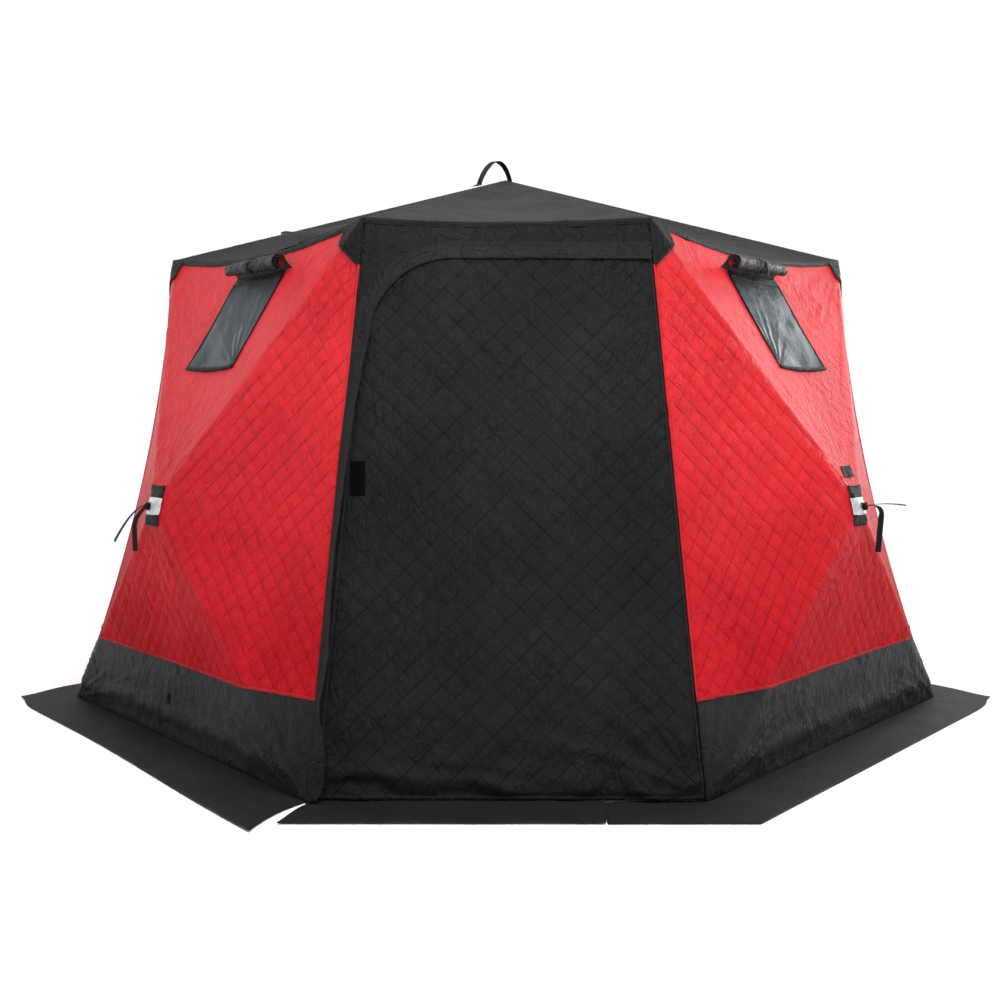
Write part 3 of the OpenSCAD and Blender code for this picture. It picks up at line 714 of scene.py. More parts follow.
def ribbon(name, points, normals, width, thick, material, crown=0.0, lift=0.0, across=5):
    """A flat strip along a path on a surface. width is one number or one for each point."""
    points, normals = np.asarray(points, float), unit(normals)
    side = path_frame(points, normals)
    x = np.linspace(-0.5, 0.5, across)
    w = np.broadcast_to(width, len(points))[:, None]
    up = lift + thick + crown * (1 - (2 * x) ** 2)
    grid = points[:, None] + side[:, None] * (x * w)[..., None] + normals[:, None] * (up * np.ones_like(w))[..., None]
    along = run_of(points)
    cloth = flat_uv(x * w, np.broadcast_to(along[:, None], grid.shape[:2]))
    return grid_shell(name, grid, grid - normals[:, None] * thick, cloth, material)


def tube(name, points, radius, material, sides=8, start_up=(0, 0, 1)):
    """A round tube along a path, closed at both ends. radius is one number or one for each point."""
    points = np.asarray(points, float)
    way = unit(np.gradient(points, axis=0))
    up = unit(np.array(start_up, float) - way[0] * np.dot(start_up, way[0]) + 1e-9)
    n = len(points)
    a = np.linspace(0, 2 * np.pi, sides, endpoint=False)
    rings = []
    for point, ahead, r in zip(points, way, np.broadcast_to(radius, n)):
        up = unit(up - ahead * np.dot(up, ahead))
        rings.append(point + r * (np.cos(a)[:, None] * up + np.sin(a)[:, None] * np.cross(ahead, up)))
    pts = np.concatenate(rings + [points[:1], points[-1:]])
    faces = grid_faces(n, sides, wrap=True)
    k = np.arange(sides)
    start = np.stack([(k + 1) % sides, k, np.full(sides, n * sides)], 1)
    end = np.stack([(n - 1) * sides + k, (n - 1) * sides + (k + 1) % sides, np.full(sides, n * sides + 1)], 1)
    along = run_of(points)
    cloth = flat_uv(*np.broadcast_arrays(a * np.mean(radius), along[:, None])).reshape(-1, 3)
    cloth = np.concatenate([cloth, cloth[:1], cloth[-1:]])
    return make_object(name, pts, [faces[:, ::-1], np.concatenate([start, end])[:, ::-1]], material, cloth)


def stitches(name, points, normals, material, pitch=0.009, length=0.0055, radius=0.0009, lift=0.001):
    """A row of thread stitches lying on a surface along a path."""
    points, normals = np.asarray(points, float), unit(normals)
    along = run_of(points)
    starts = np.arange(pitch / 2, along[-1] - length, pitch)
    pick = lambda s, a: np.stack([np.interp(s, along, a[:, k]) for k in range(3)], -1)
    p0, p1, n = pick(starts, points), pick(starts + length, points), unit(pick(starts, normals))
    side = unit(np.cross(p1 - p0, n)) * radius
    mid = (p0 + p1) / 2 + n * (lift + radius * 1.3)
    low = n * lift * 0.2
    pts = np.stack([p0 - side + low, p0 + side + low, mid - side, mid + side, p1 - side + low, p1 + side + low,
                    (p0 + p1) / 2 - n * radius], 1).reshape(-1, 3)
    base = np.arange(len(starts))[:, None] * 7
    quads = np.concatenate([base + np.array([0, 1, 3, 2]), base + np.array([2, 3, 5, 4])])
    tris = np.concatenate([base + np.array(t) for t in ([0, 6, 1], [4, 5, 6], [0, 2, 6], [2, 4, 6], [1, 6, 3],
                                                        [3, 6, 5])])
    return make_object(name, pts, [quads, tris], material)


def read(items, what, width=1, kind=np.int64):
    """One property of all a mesh's items, as an array."""
    values = np.zeros(len(items) * width, kind)
    items.foreach_get(what, values)
    return values if width == 1 else values.reshape(-1, width)


def joined(name, objs):
    """Several meshes as one object, without the operators."""
    points, faces, cloth, mats, count, index = [], {}, [], [], 0, {}
    for o in objs:
        m = o.data
        points.append(read(m.vertices, "co", 3, np.float32))
        layer = m.attributes.get("cloth")
        cloth.append(np.zeros_like(points[-1]) if layer is None else read(layer.data, "vector", 3, np.float32))
        loops = read(m.loops, "vertex_index")
        total, start, mat = (read(m.polygons, what) for what in ("loop_total", "loop_start", "material_index"))
        for k in np.unique(total):
            own = total == k
            rows = loops[start[own][:, None] + np.arange(k)] + count
            for slot_number in np.unique(mat[own]):
                look = m.materials[int(slot_number)]
                if look.name not in index:
                    index[look.name] = len(mats)
                    mats.append(look)
                faces.setdefault((int(k), index[look.name]), []).append(rows[mat[own] == slot_number])
        count += len(m.vertices)
        bpy.data.objects.remove(o)
    keys = sorted(faces)
    lists = [np.concatenate(faces[key]) for key in keys]
    obj = make_object(name, np.concatenate(points), lists, mats, np.concatenate(cloth))
    numbers = np.concatenate([np.full(len(f), key[1]) for f, key in zip(lists, keys)])
    if len(numbers) == len(obj.data.polygons):
        obj.data.polygons.foreach_set("material_index", numbers.astype(np.int32))
    return obj


def quad_cloth(name, place, corners, nu, nv, lift, thick, material):
    """A patch on a surface between four (u, v) corners, counter-clockwise.
    place(u, v, lift) gives points and normals; lift(s, t) gives the height over the patch."""
    s, t = np.meshgrid(np.linspace(0, 1, nu), np.linspace(0, 1, nv))
    c = np.array(corners, float)
    uv = (c[0] * ((1 - s) * (1 - t))[..., None] + c[1] * (s * (1 - t))[..., None]
          + c[2] * (s * t)[..., None] + c[3] * ((1 - s) * t)[..., None])
    u, v = uv[..., 0], uv[..., 1]
    p, n = place(u, v, lift(s, t))
    return grid_shell(name, p, p - n * thick, flat_uv(u, v), material)


def on_cloth(w, seed):
    """Places points on the quilted cloth of a hub wall: u, v and how far above it."""
    at = wall_surface(w)

    def place(u, v, lift=0.0):
        return lifted(at, u, v, wall_puff(w, u, v, seed) + lift)
    return place


def line_uv(a, b, n):
    """A straight line between two (u, v) points."""
    t = np.linspace(0, 1, n)
    return a[0] + (b[0] - a[0]) * t, a[1] + (b[1] - a[1]) * t


WEBBING = plain_cloth("webbing", (0.005, 0.005, 0.006), (0.009, 0.009, 0.010), 0.6, specular=0.15, crease=0.1,
                      weave_bump=0.5)
THREAD = Shader("thread", (0.02, 0.02, 0.022), 0.6, Specular_IOR_Level=0.3).finish()
THREAD_RED = Shader("thread_red", (0.30, 0.012, 0.02), 0.6, Specular_IOR_Level=0.3).finish()
# darker red than the quilt: the seams' own red deepened by painted shade, as the cloth dips in at them
RED_TRIM = plain_cloth("red_trim", (0.36, 0.007, 0.012), (0.44, 0.010, 0.016), 0.5, specular=0.18, crease=0.3)


def metal_material(name, base, rough):
    """Slightly worn, fine-grained metal."""
    s = Shader(name, base, rough, Metallic=1.0)
    place = s.coords()
    worn = s.ramp(s.noise(place, 60.0, 4.0), 0.35, 0.7)
    dark = tuple(0.55 * x for x in base)
    return s.finish(s.tint(worn, dark, base), s.ramp(s.noise(place, 300.0), 0.3, 0.7, rough - 0.08, rough + 0.12),
                    s.noise(place, 500.0), 0.08, 0.0004)


def plastic_material(name, dark, light, rough, grain=900.0, **more):
    """Moulded plastic with a fine grain."""
    s = Shader(name, light, rough, **more)
    place = s.coords()
    return s.finish(s.tint(s.ramp(s.noise(place, 7.0, 4.0), 0.35, 0.65), dark, light),
                    s.ramp(s.noise(place, 180.0), 0.3, 0.7, rough - 0.06, rough + 0.08),
                    s.noise(place, grain, 2.0), 0.12, 0.0003)


def reflector_material():
    """Creased reflective band with a fine weave."""
    s = Shader("reflective_band", (0.55, 0.56, 0.57), 0.34, Metallic=0.35, Specular_IOR_Level=0.6)
    place = s.coords()
    creases = fold_lines(s, place, 40.0, 0.05)
    uv = s.split(s.attribute("cloth"))
    height = s.math("MULTIPLY_ADD", weave(s, uv, 0.002), 0.25, creases)
    return s.finish(s.tint(s.ramp(s.noise(place, 30.0), 0.3, 0.7), (0.42, 0.43, 0.44), (0.68, 0.69, 0.70)), None,
                    height, 0.6, 0.002)


def vinyl_material():
    """Rippled, scuffed window vinyl."""
    s = Shader("window_vinyl", (0.06, 0.075, 0.085), 0.11, Specular_IOR_Level=0.014)
    place = s.coords()
    ripples = s.noise(place, 14.0, 3.0, 0.5, 1.2)
    scuffs = fold_lines(s, place, 34.0, 0.03)
    return s.finish(s.tint(ripples, (0.041, 0.051, 0.058), (0.058, 0.071, 0.080)),
                    s.ramp(s.noise(place, 25.0), 0.3, 0.7, 0.08, 0.22),
                    s.math("MULTIPLY_ADD", scuffs, 0.25, ripples), 0.35, 0.004)


REFLECTOR, VINYL = reflector_material(), vinyl_material()
METAL = metal_material("zip_metal", (0.32, 0.32, 0.34), 0.35)
HUB_PLASTIC = plastic_material("hub_plastic", (0.011, 0.011, 0.012), (0.022, 0.022, 0.024), 0.5)
BRACKET = plastic_material("bracket_plastic", (0.010, 0.010, 0.010), (0.020, 0.020, 0.021), 0.55)
STAY = plastic_material("stay_plastic", (0.010, 0.010, 0.010), (0.02, 0.02, 0.02), 0.5)


def pole_material():
    """Wound fibreglass: pale, glossy, with fine windings along it."""
    s = Shader("pole_fibreglass", (0.62, 0.63, 0.60), 0.32, Specular_IOR_Level=0.5, Coat_Weight=0.3,
               Coat_Roughness=0.15)
    place = s.coords()
    fibres = s.noise(s.coords((1, 1, 0.05)), 260.0, 3.0)
    return s.finish(s.tint(s.ramp(s.noise(place, 5.0, 4.0), 0.3, 0.7), (0.52, 0.53, 0.50), (0.70, 0.71, 0.68)),
                    s.ramp(fibres, 0.3, 0.7, 0.25, 0.42), fibres, 0.15, 0.0004)


POLE = pole_material()
NODE_LOOKS = {"wall_hub_": HUB_PLASTIC, "roof_hub": HUB_PLASTIC, "corner_brackets": BRACKET, "pole_": POLE,
              "roof_pole_": POLE,
              "vent_prop": STAY, "zip_slider": METAL}
for node_name, node_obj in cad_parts.items():
    for start, look in NODE_LOOKS.items():
        if node_name.startswith(start):
            for material_slot in node_obj.material_slots:
                material_slot.link = "OBJECT"
                material_slot.material = look


# ---------------------------------------------------------------- hub walls

def follow_hub(obj, w):
    """Bakes a piece's placement into its mesh; the piece is not tied to the hub, so it stays put when the hub is pushed
    in."""
    f = wall_frame(w)
    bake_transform(obj)


def declare(replaced=None):
    """Hides the CAD node that a piece takes the place of, if one is given."""
    if replaced:
        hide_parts(replaced)


def ride_in(obj, body, replaced=None):
    """A piece that moves with one body."""
    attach(obj, body)
    declare(replaced)


def follow_in(obj, w, replaced=None):
    """A piece sewn on the cloth of a hub wall, or with no rise that cloth itself."""
    follow_hub(obj, w)
    declare(replaced)


def band_line(w):
    """v at which the wall's cloth is at the base band's height, as a function of u."""
    at = wall_surface(w)
    us = np.linspace(-BASE_U - 0.02, BASE_U + 0.02, 400)
    lo, hi = np.zeros_like(us), np.full_like(us, 0.6)
    for _ in range(30):
        mid = (lo + hi) / 2
        z = at(us, mid)[..., 2]
        lo, hi = np.where(z < BAND_H, mid, lo), np.where(z < BAND_H, hi, mid)
    vs = (lo + hi) / 2
    return lambda u: np.interp(u, us, vs)


def wall_clip(low, high):
    """Clips points to a hub wall between two heights, each a function of u."""
    def clip(u, v):
        v = np.clip(v, low(u), high(u))
        side = BASE_U - TAPER * v
        u = np.clip(u, -side, side)
        return u, np.clip(v, low(u), high(u))
    return clip


def quilt_tone(u, v, cu, cv, dark=None):
    """The strength of both families of quilting lines, and a painted shade (dark), for the material."""
    wp, wq = quilt_weights(u, v, cu, cv)
    return np.stack([wp, wq, np.zeros_like(u) if dark is None else dark], -1)


def build_panel(w, seed):
    """The quilted cloth of a hub wall, with a hole behind the window."""
    line = band_line(w)
    centre = w[2] * WIN_OFF
    hole = (centre - WIN_W / 2, centre + WIN_W / 2, WIN_V - WIN_H / 2, WIN_V + WIN_H / 2, w[2] * WIN_LEAN)
    u, v, tris = lattice(-BASE_U, BASE_U, 0.25, WALL_V, wall_clip(line, lambda x: WALL_V), hole)
    p, _ = lifted(wall_surface(w), u, v, wall_puff(w, u, v, seed))
    # painted shade along the seams round the wall, where the cloth dips into them
    dark = 0.55 * smooth(0.988, 1.0, wall_share(u, v).max(0))  # along the seams round the wall
    fade = 1 - 0.7 * smooth_facets(w, u, v)
    tone = quilt_tone(u, v, 0.0, HUB_V, dark) * np.stack([fade, fade, np.ones_like(u)], -1)
    panel = shell("panel_" + w[3], p, [tris], RED, flat_uv(u, v), tone)
    follow_in(panel, w, WALL_NODE[w[3]])


def build_base_band(w, seed):
    """The black band along the foot of a hub wall."""
    u, v, tris = lattice(-BASE_U, BASE_U, 0.0, 0.45, wall_clip(lambda x: 0.006, band_line(w)))
    low_high = hump(np.clip(v / 0.34, 0, 1))
    lift = 0.002 + wall_puff(w, u, v, seed + 100, 0.3) + 0.004 * np.abs(noise(u / 0.11, v / 0.4, seed + 120)) * low_high
    ends = smooth(0, 0.15, 1 - np.abs(u) / (BASE_U - TAPER * v))
    for s in (-1, 1):
        tucks = 0.020 * np.abs(fan(u, v, s * BASE_U, 0.0, seed + 130 + s, 20, 0.34, 0.03))
        lift += tucks * low_high * smooth(0, 0.05, ends)
    bag = 0.085 + 0.03 * noise(u / 0.16, v * 0, seed + 140) - 0.03 * np.abs(u / BASE_U) ** 2
    lift += ends * (0.007 * np.exp(-((v - bag - 0.03) / 0.035) ** 2) - 0.002 * np.exp(-((v - bag + 0.03) / 0.03) ** 2))
    lift = np.maximum(lift, 0.0015)
    p, _ = lifted(wall_surface(w), u, v, lift)
    p[:, 2] = np.maximum(p[:, 2], 0.004)
    band = shell("band_" + w[3], p, [tris], BAND, flat_uv(u, v), 0.45 * quilt_tone(u, v, 0.0, HUB_V))
    follow_in(band, w, "base_bands")


for wall in WALLS:
    build_panel(wall, SEEDS[wall[3]])
    build_base_band(wall, SEEDS[wall[3]])


# ---------------------------------------------------------------- roof

def gores():
    """Each roof gore: its number, its two corners, its eave's droop and the lean of the wall below it."""
    for i, a in enumerate(CORNERS):
        b = CORNERS[(i + 1) % 6] + (360 if i == 5 else 0)
        over_door = i in (2, 5)
        yield i, a, b, DOOR_DROOP if over_door else DROOP, DOOR_LEAN if over_door else LEAN


def gore_point(a, b, droop, t, r, lift):
    """A point over the gore between corners a and b: t along the eave, r from the peak to the eave."""
    e = eave(a, b, t, 0.0)
    e[..., 2] -= droop * hump(np.clip(t, 0, 1))
    p = mix(np.array([0, 0, PEAK_H]), e, r)
    p[..., 2] += lift
    return p


def follow_roof_hub(obj, replaced):
    """Bakes the roof cloth's placement into its mesh and hides the CAD node it replaces; it is not tied to the roof
    hub.
    """
    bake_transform(obj)
    declare(replaced)


def build_roof():
    """The roof's six gores as one cloth."""
    points, faces, cloth, count = [], [], [], 0
    for i, a, b, droop, _ in gores():
        p, q = polar(TOP_R, a, WALL_H), polar(TOP_R, b, WALL_H)
        half = np.linalg.norm(q - p) / 2
        slope = np.linalg.norm((p + q) / 2 - np.array([0, 0, PEAK_H]))

        def at(u, v, a=a, b=b, droop=droop, half=half, slope=slope):
            r = np.clip(1 - v / slope, 1e-4, None)
            t = np.clip((u / (half * r) + 1) / 2, -0.02, 1.02)
            sag = 0.018 * hump(np.clip(t, 0, 1)) * hump(np.clip(r, 0, 1)) ** 0.8
            return gore_point(a, b, droop, t, r, 0.004 - sag)

        def clip(u, v, half=half, slope=slope):
            v = np.clip(v, 0, slope)
            side = half * (1 - v / slope)
            return np.clip(u, -side, side), v

        u, v, tris = lattice(-half, half, 0, slope, clip)
        edge = 1 - np.exp(-(half * (1 - v / slope) - np.abs(u)) / 0.010)
        folds = 0.006 * fan(u, v, 0.0, slope, 900 + i, 9, 0.5) + 0.006 * fan(u, v, -half, 0, 910 + i, 12, 0.4) \
            + 0.006 * fan(u, v, half, 0, 920 + i, 12, 0.4)
        ripple = 0.0035 * ridge(u / 0.5, v / 0.075 + 0.8 * noise(u / 0.3, v / 0.3, 940 + i), 950 + i, 3)
        lines = 0.0018 * ridge(u / 0.8, v / 0.034 + 0.5 * noise(u / 0.4, v / 0.2, 970 + i), 980 + i, 2)
        lift = edge * (0.001 + 0.35 * folds + 0.6 * ripple + lines + 0.002 * crumple(u, v, 960 + i))
        points.append(lifted(at, u, v, lift)[0])
        faces.append(tris + count)
        cloth.append(flat_uv(u, v))
        count += len(u)
    points, cloth = np.concatenate(points), np.concatenate(cloth)
    # points that two gores share along their seam become one
    key = np.round(points * 2e3).astype(np.int64)
    _, first, ids = np.unique(key, axis=0, return_index=True, return_inverse=True)
    faces = three_corners(ids.ravel()[np.concatenate(faces)])
    roof = shell("roof_cloth", points[first], [faces], ROOF, cloth[first])
    follow_roof_hub(roof, "roof_canopy")


build_roof()


# ---------------------------------------------------------------- trim of the hub walls

def build_window(w):
    """The pane, its sewn edges, the strip above it and the rolled lip below it."""
    k, d, seed = w[3], w[2], SEEDS[w[3]]
    at = wall_surface(w)
    margin, pane_lift = 0.012, 0.006
    cu = d * WIN_OFF
    lean = lambda v: d * WIN_LEAN * (v - WIN_V)
    u0, u1 = cu - WIN_W / 2 - margin, cu + WIN_W / 2 + margin
    v0, v1 = WIN_V - WIN_H / 2 - margin, WIN_V + WIN_H / 2 + margin
    corner_u = u1 if d > 0 else u0

    def rays(du, dv, count, reach, own_seed):
        """Creases that spread from a corner of the pane."""
        r, phi = np.hypot(du, dv), np.arctan2(dv, du + 1e-6)
        return noise(phi * count, r * 3, own_seed) * smooth(0.0, 0.02, r) * np.exp(-r / reach)

    def crinkle(s, t):
        u, v = u0 + (u1 - u0) * s, v0 + (v1 - v0) * t  # before the lean
        du = np.abs(u - corner_u)
        spread = 0.0105 * rays(du, v - v0, 7.5, 0.11, seed + 70) + 0.003 * rays(du, v1 - v, 6, 0.10, seed + 72)
        held = smooth(0, 0.03, s) * smooth(1, 0.97, s) * smooth(0, 0.03, t) * smooth(1, 0.97, t)
        return pane_lift + (0.005 * hump(s) * hump(t) + spread + 0.003 * noise(u / 0.15, v / 0.10, seed + 71)) * held

    def place(u, v, lift):
        return lifted(at, u + lean(v), v, lift)

    pane = quad_cloth("pane_" + k, place, [(u0, v0), (u1, v0), (u1, v1), (u0, v1)], 90, 78, crinkle, 0.001, VINYL)
    follow_in(pane, w, "window_panes")
    edges = []
    for a, b in (((u0, v0), (u0, v1)), ((u1, v1), (u1, v0)), ((u1, v1), (u0, v1)), ((u0, v0), (u1, v0))):
        u, v = line_uv(a, b, 40)
        p, n = place(u, v, pane_lift - 0.001)
        edges.append(ribbon("edge", p, n, 0.011, 0.002, PATCH, 0.0018))
    u, v = line_uv((u0 - 0.004, v0 - 0.002), (u1 + 0.004, v0 - 0.002), 60)
    t = np.linspace(0, 1, 60)
    edges.append(quad_cloth("edge", place, [(u0, v1 - 0.010), (u1, v1 - 0.010), (u1, v1 + 0.032), (u0, v1 + 0.032)],
                            60, 8,
                            lambda a, b: pane_lift + 0.0015 + 0.0015 * noise(a * 9, b, seed + 76), 0.0015, PATCH))
    p, n = place(u, v, pane_lift + 0.001)
    edges.append(tube("edge", p, 0.0055 + 0.0035 * hump(t) ** 0.5 + 0.0012 * noise(t * 9, t * 0, seed + 74), PATCH,
                      10, n[0]))
    follow_in(joined("window_trim_" + k, edges), w)


def build_roll(w):
    """The window's cover, rolled up from below, tied in the middle and sewn to the wall along its upper edge."""
    k, d, seed = w[3], w[2], SEEDS[w[3]]
    f, at = wall_frame(w), wall_surface(w)
    centre_u = d * ROLL_U
    x = np.linspace(-ROLL_L / 2, ROLL_L / 2, 90)
    turns, per_turn, thick, gap = 3.1, 30, 0.0035, 0.0086
    # x runs along the roll, theta round it from the outside in
    theta = np.arange(0, int(turns * per_turn) + 1) * 2 * np.pi / per_turn
    outer = (ROLL_D / 2 - 0.007) + 0.007 * (x * d / ROLL_L + 0.5)
    outer = outer * (1 - 0.2 * np.exp(-(x / 0.030) ** 2)) + 0.002 * noise(x / 0.06, x * 0, seed + 80)
    start = math.radians(128)
    xx, th = np.meshgrid(x, theta)
    rr = outer[None, :] - gap * th / (2 * np.pi)
    rough = 0.0022 * noise(xx / 0.05 + 0.6 * th, th * 0.9, seed + 81) \
        - 0.003 * ridge(xx / 0.05 + 0.9 * th, th * 0.7, seed + 82, 4)
    rr = rr + rough * np.exp(-th / 7)
    angle = start - th
    rows, inner_rows = (in_frame(f, centre_u + xx, ROLL_V + r * np.sin(angle), ROLL_N + r * np.cos(angle))
                        for r in (rr, rr - thick))
    root_v = ROLL_V + 0.030
    reach = 0.022 * smooth(ROLL_L / 2 - 0.05, ROLL_L / 2, x * d) * d
    root, n = lifted(at, centre_u + x + reach, np.full_like(x, root_v), np.full_like(x, 0.008))
    lead = np.array([root * (1 - s) + rows[0] * s + n * 0.010 * hump(s) for s in np.linspace(0, 1, 7)[:-1]])
    grid = np.concatenate([lead, rows])
    inner = np.concatenate([lead - n * thick, inner_rows])
    s, t = np.meshgrid(x, np.arange(len(grid)) * 0.006)
    roll = grid_shell("cover_roll_" + k, grid, inner, flat_uv(s, t), COVER, grid[8, 40] - inner[8, 40], (8, 40),
                      COVER_RED)
    ride_in(roll, "root", "window_covers")
    middle_r = float(np.interp(0.0, x, outer))
    build_tie(f, k, centre_u, middle_r + 0.0022)
    build_toggle(f, k, centre_u, ROLL_N + middle_r + 0.008)


def build_tie(f, k, centre_u, r):
    """The strap round the rolled cover, with a short tail."""
    a = np.linspace(0, 2 * np.pi, 41)[:, None]
    p = in_frame(f, centre_u, ROLL_V + r * np.sin(a[:, 0]), ROLL_N + r * np.cos(a[:, 0]))
    tie = ribbon("tie", p, np.cos(a) * f[3] + np.sin(a) * f[2], 0.020, STITCHED_TH, WEBBING)
    t = np.linspace(0, 1, 8)
    q = in_frame(f, centre_u + 0.006, ROLL_V - 0.05 * t, ROLL_N + r + 0.001 + 0.004 * hump(t))
    tail = ribbon("tail", q, np.tile(f[3], (8, 1)), 0.018, 0.0015, WEBBING)
    ride_in(joined("tie_" + k, [tie, tail]), "root")


def build_toggle(f, k, centre_u, front):
    """A small round-ended toggle with its cord loop, in front of the rolled cover."""
    fullness = np.array([0, 0.4, 0.8, 1, 1, 0.8, 0.4, 0.0])
    along = np.array([-0.018, -0.0176, -0.0165, -0.014, 0.014, 0.0165, 0.0176, 0.018])
    body = tube("toggle", in_frame(f, centre_u, ROLL_V + along, front), 0.0005 + 0.0042 * fullness, STAY, 14, f[1])
    a = np.linspace(0, 2 * np.pi, 25)
    path = in_frame(f, centre_u + 0.010 * np.cos(a), ROLL_V + 0.006 * np.sin(a), front - 0.001 + 0.004 * np.sin(a))
    loop = tube("loop", path, 0.0014, WEBBING, 8, f[3])
    ride_in(joined("toggle_" + k, [body, loop]), "root", "cover_toggles")


def build_corner_patches(w):
    """The two reinforcing patches at the upper corners of a hub wall."""
    k, seed = w[3], SEEDS[w[3]]
    place = on_cloth(w, seed)
    patches, seams = [], []
    for s in (-1, 1):
        low_v = WALL_V - 0.175
        c = [(s * TOP_U, WALL_V), (s * (TOP_U - 0.118), WALL_V), (s * (TOP_U - 0.112), WALL_V - 0.088),
             (s * (BASE_U - TAPER * low_v), low_v)]
        if s < 0:
            c = [c[0], c[3], c[2], c[1]]

        def crease(a, b, s=s):
            return 0.0055 + 0.0030 * ridge(a * 1.2 + b, b * 2.2, seed + 90 + s, 2) * hump(a) ** 0.5 * hump(b) ** 0.5
        patches.append(quad_cloth("patch", place, c, 26, 26, crease, STITCHED_TH, PATCH))
        for a, b in ((c[1], c[2]), (c[2], c[3])) if s > 0 else ((c[3], c[2]), (c[2], c[1])):
            for inset in (0.006, 0.011):
                u, v = line_uv(a, b, 24)
                u, v = u + s * inset * 0.8, v + inset * 0.6
                p, n = place(u, v, 0.0078)
                seams.append(stitches("seam", p, n, THREAD))
    follow_in(joined("corner_patch_" + k, patches + seams), w, "corner_patches")


def build_hub_patch(w):
    """The patch over the hub, in three parts, with the reflective one in the middle."""
    k, d, seed = w[3], w[2], SEEDS[w[3]]
    place = on_cloth(w, seed)
    parts = []
    half = PATCH_W / 2
    up, mid_hi, mid_lo, down = 0.088, 0.036, -0.030, -0.072

    def across(lo, hi, side):
        """The corners of a part between two heights from the hub."""
        return [(-side, HUB_V + lo), (side, HUB_V + lo), (side, HUB_V + hi), (-side, HUB_V + hi)]

    for lo, hi in ((down, mid_lo + 0.004), (mid_hi - 0.004, up)):
        parts.append(quad_cloth("part", place, across(lo, hi, half), 34, 22,
                                lambda s, t: 0.0035 + 0.0022 * ridge(s * 5.5, t * 1.2, seed + 95, 2), STITCHED_TH,
                                PATCH))
    if d < 0:
        label = [(-0.052, HUB_V + 0.127), (0.048, HUB_V + 0.127), (0.05, HUB_V + 0.176), (-0.048, HUB_V + 0.174)]
        parts.append(quad_cloth("part", place, label, 20, 12,
                                lambda s, t: 0.003 + 0.0015 * ridge(s * 3, t * 2, seed + 97, 2), STITCHED_TH, PATCH))
    for at_v in (HUB_V + (down + 0.006), HUB_V + (up - 0.006)):
        u, v = line_uv((-half + 0.006, at_v), (half - 0.006, at_v), 20)
        p, n = place(u, v, 0.0058)
        parts.append(stitches("seam", p, n, THREAD))
    follow_in(joined("hub_patch_" + k, parts), w, "hub_patches")
    band = quad_cloth("hub_reflector_" + k, place, across(mid_lo, mid_hi, half + 0.002), 44, 26,
                      lambda s, t: 0.0052 + 0.0028 * ridge(s * 6, t * 1.5, seed + 96, 2), 0.0014, REFLECTOR)
    follow_in(band, w)


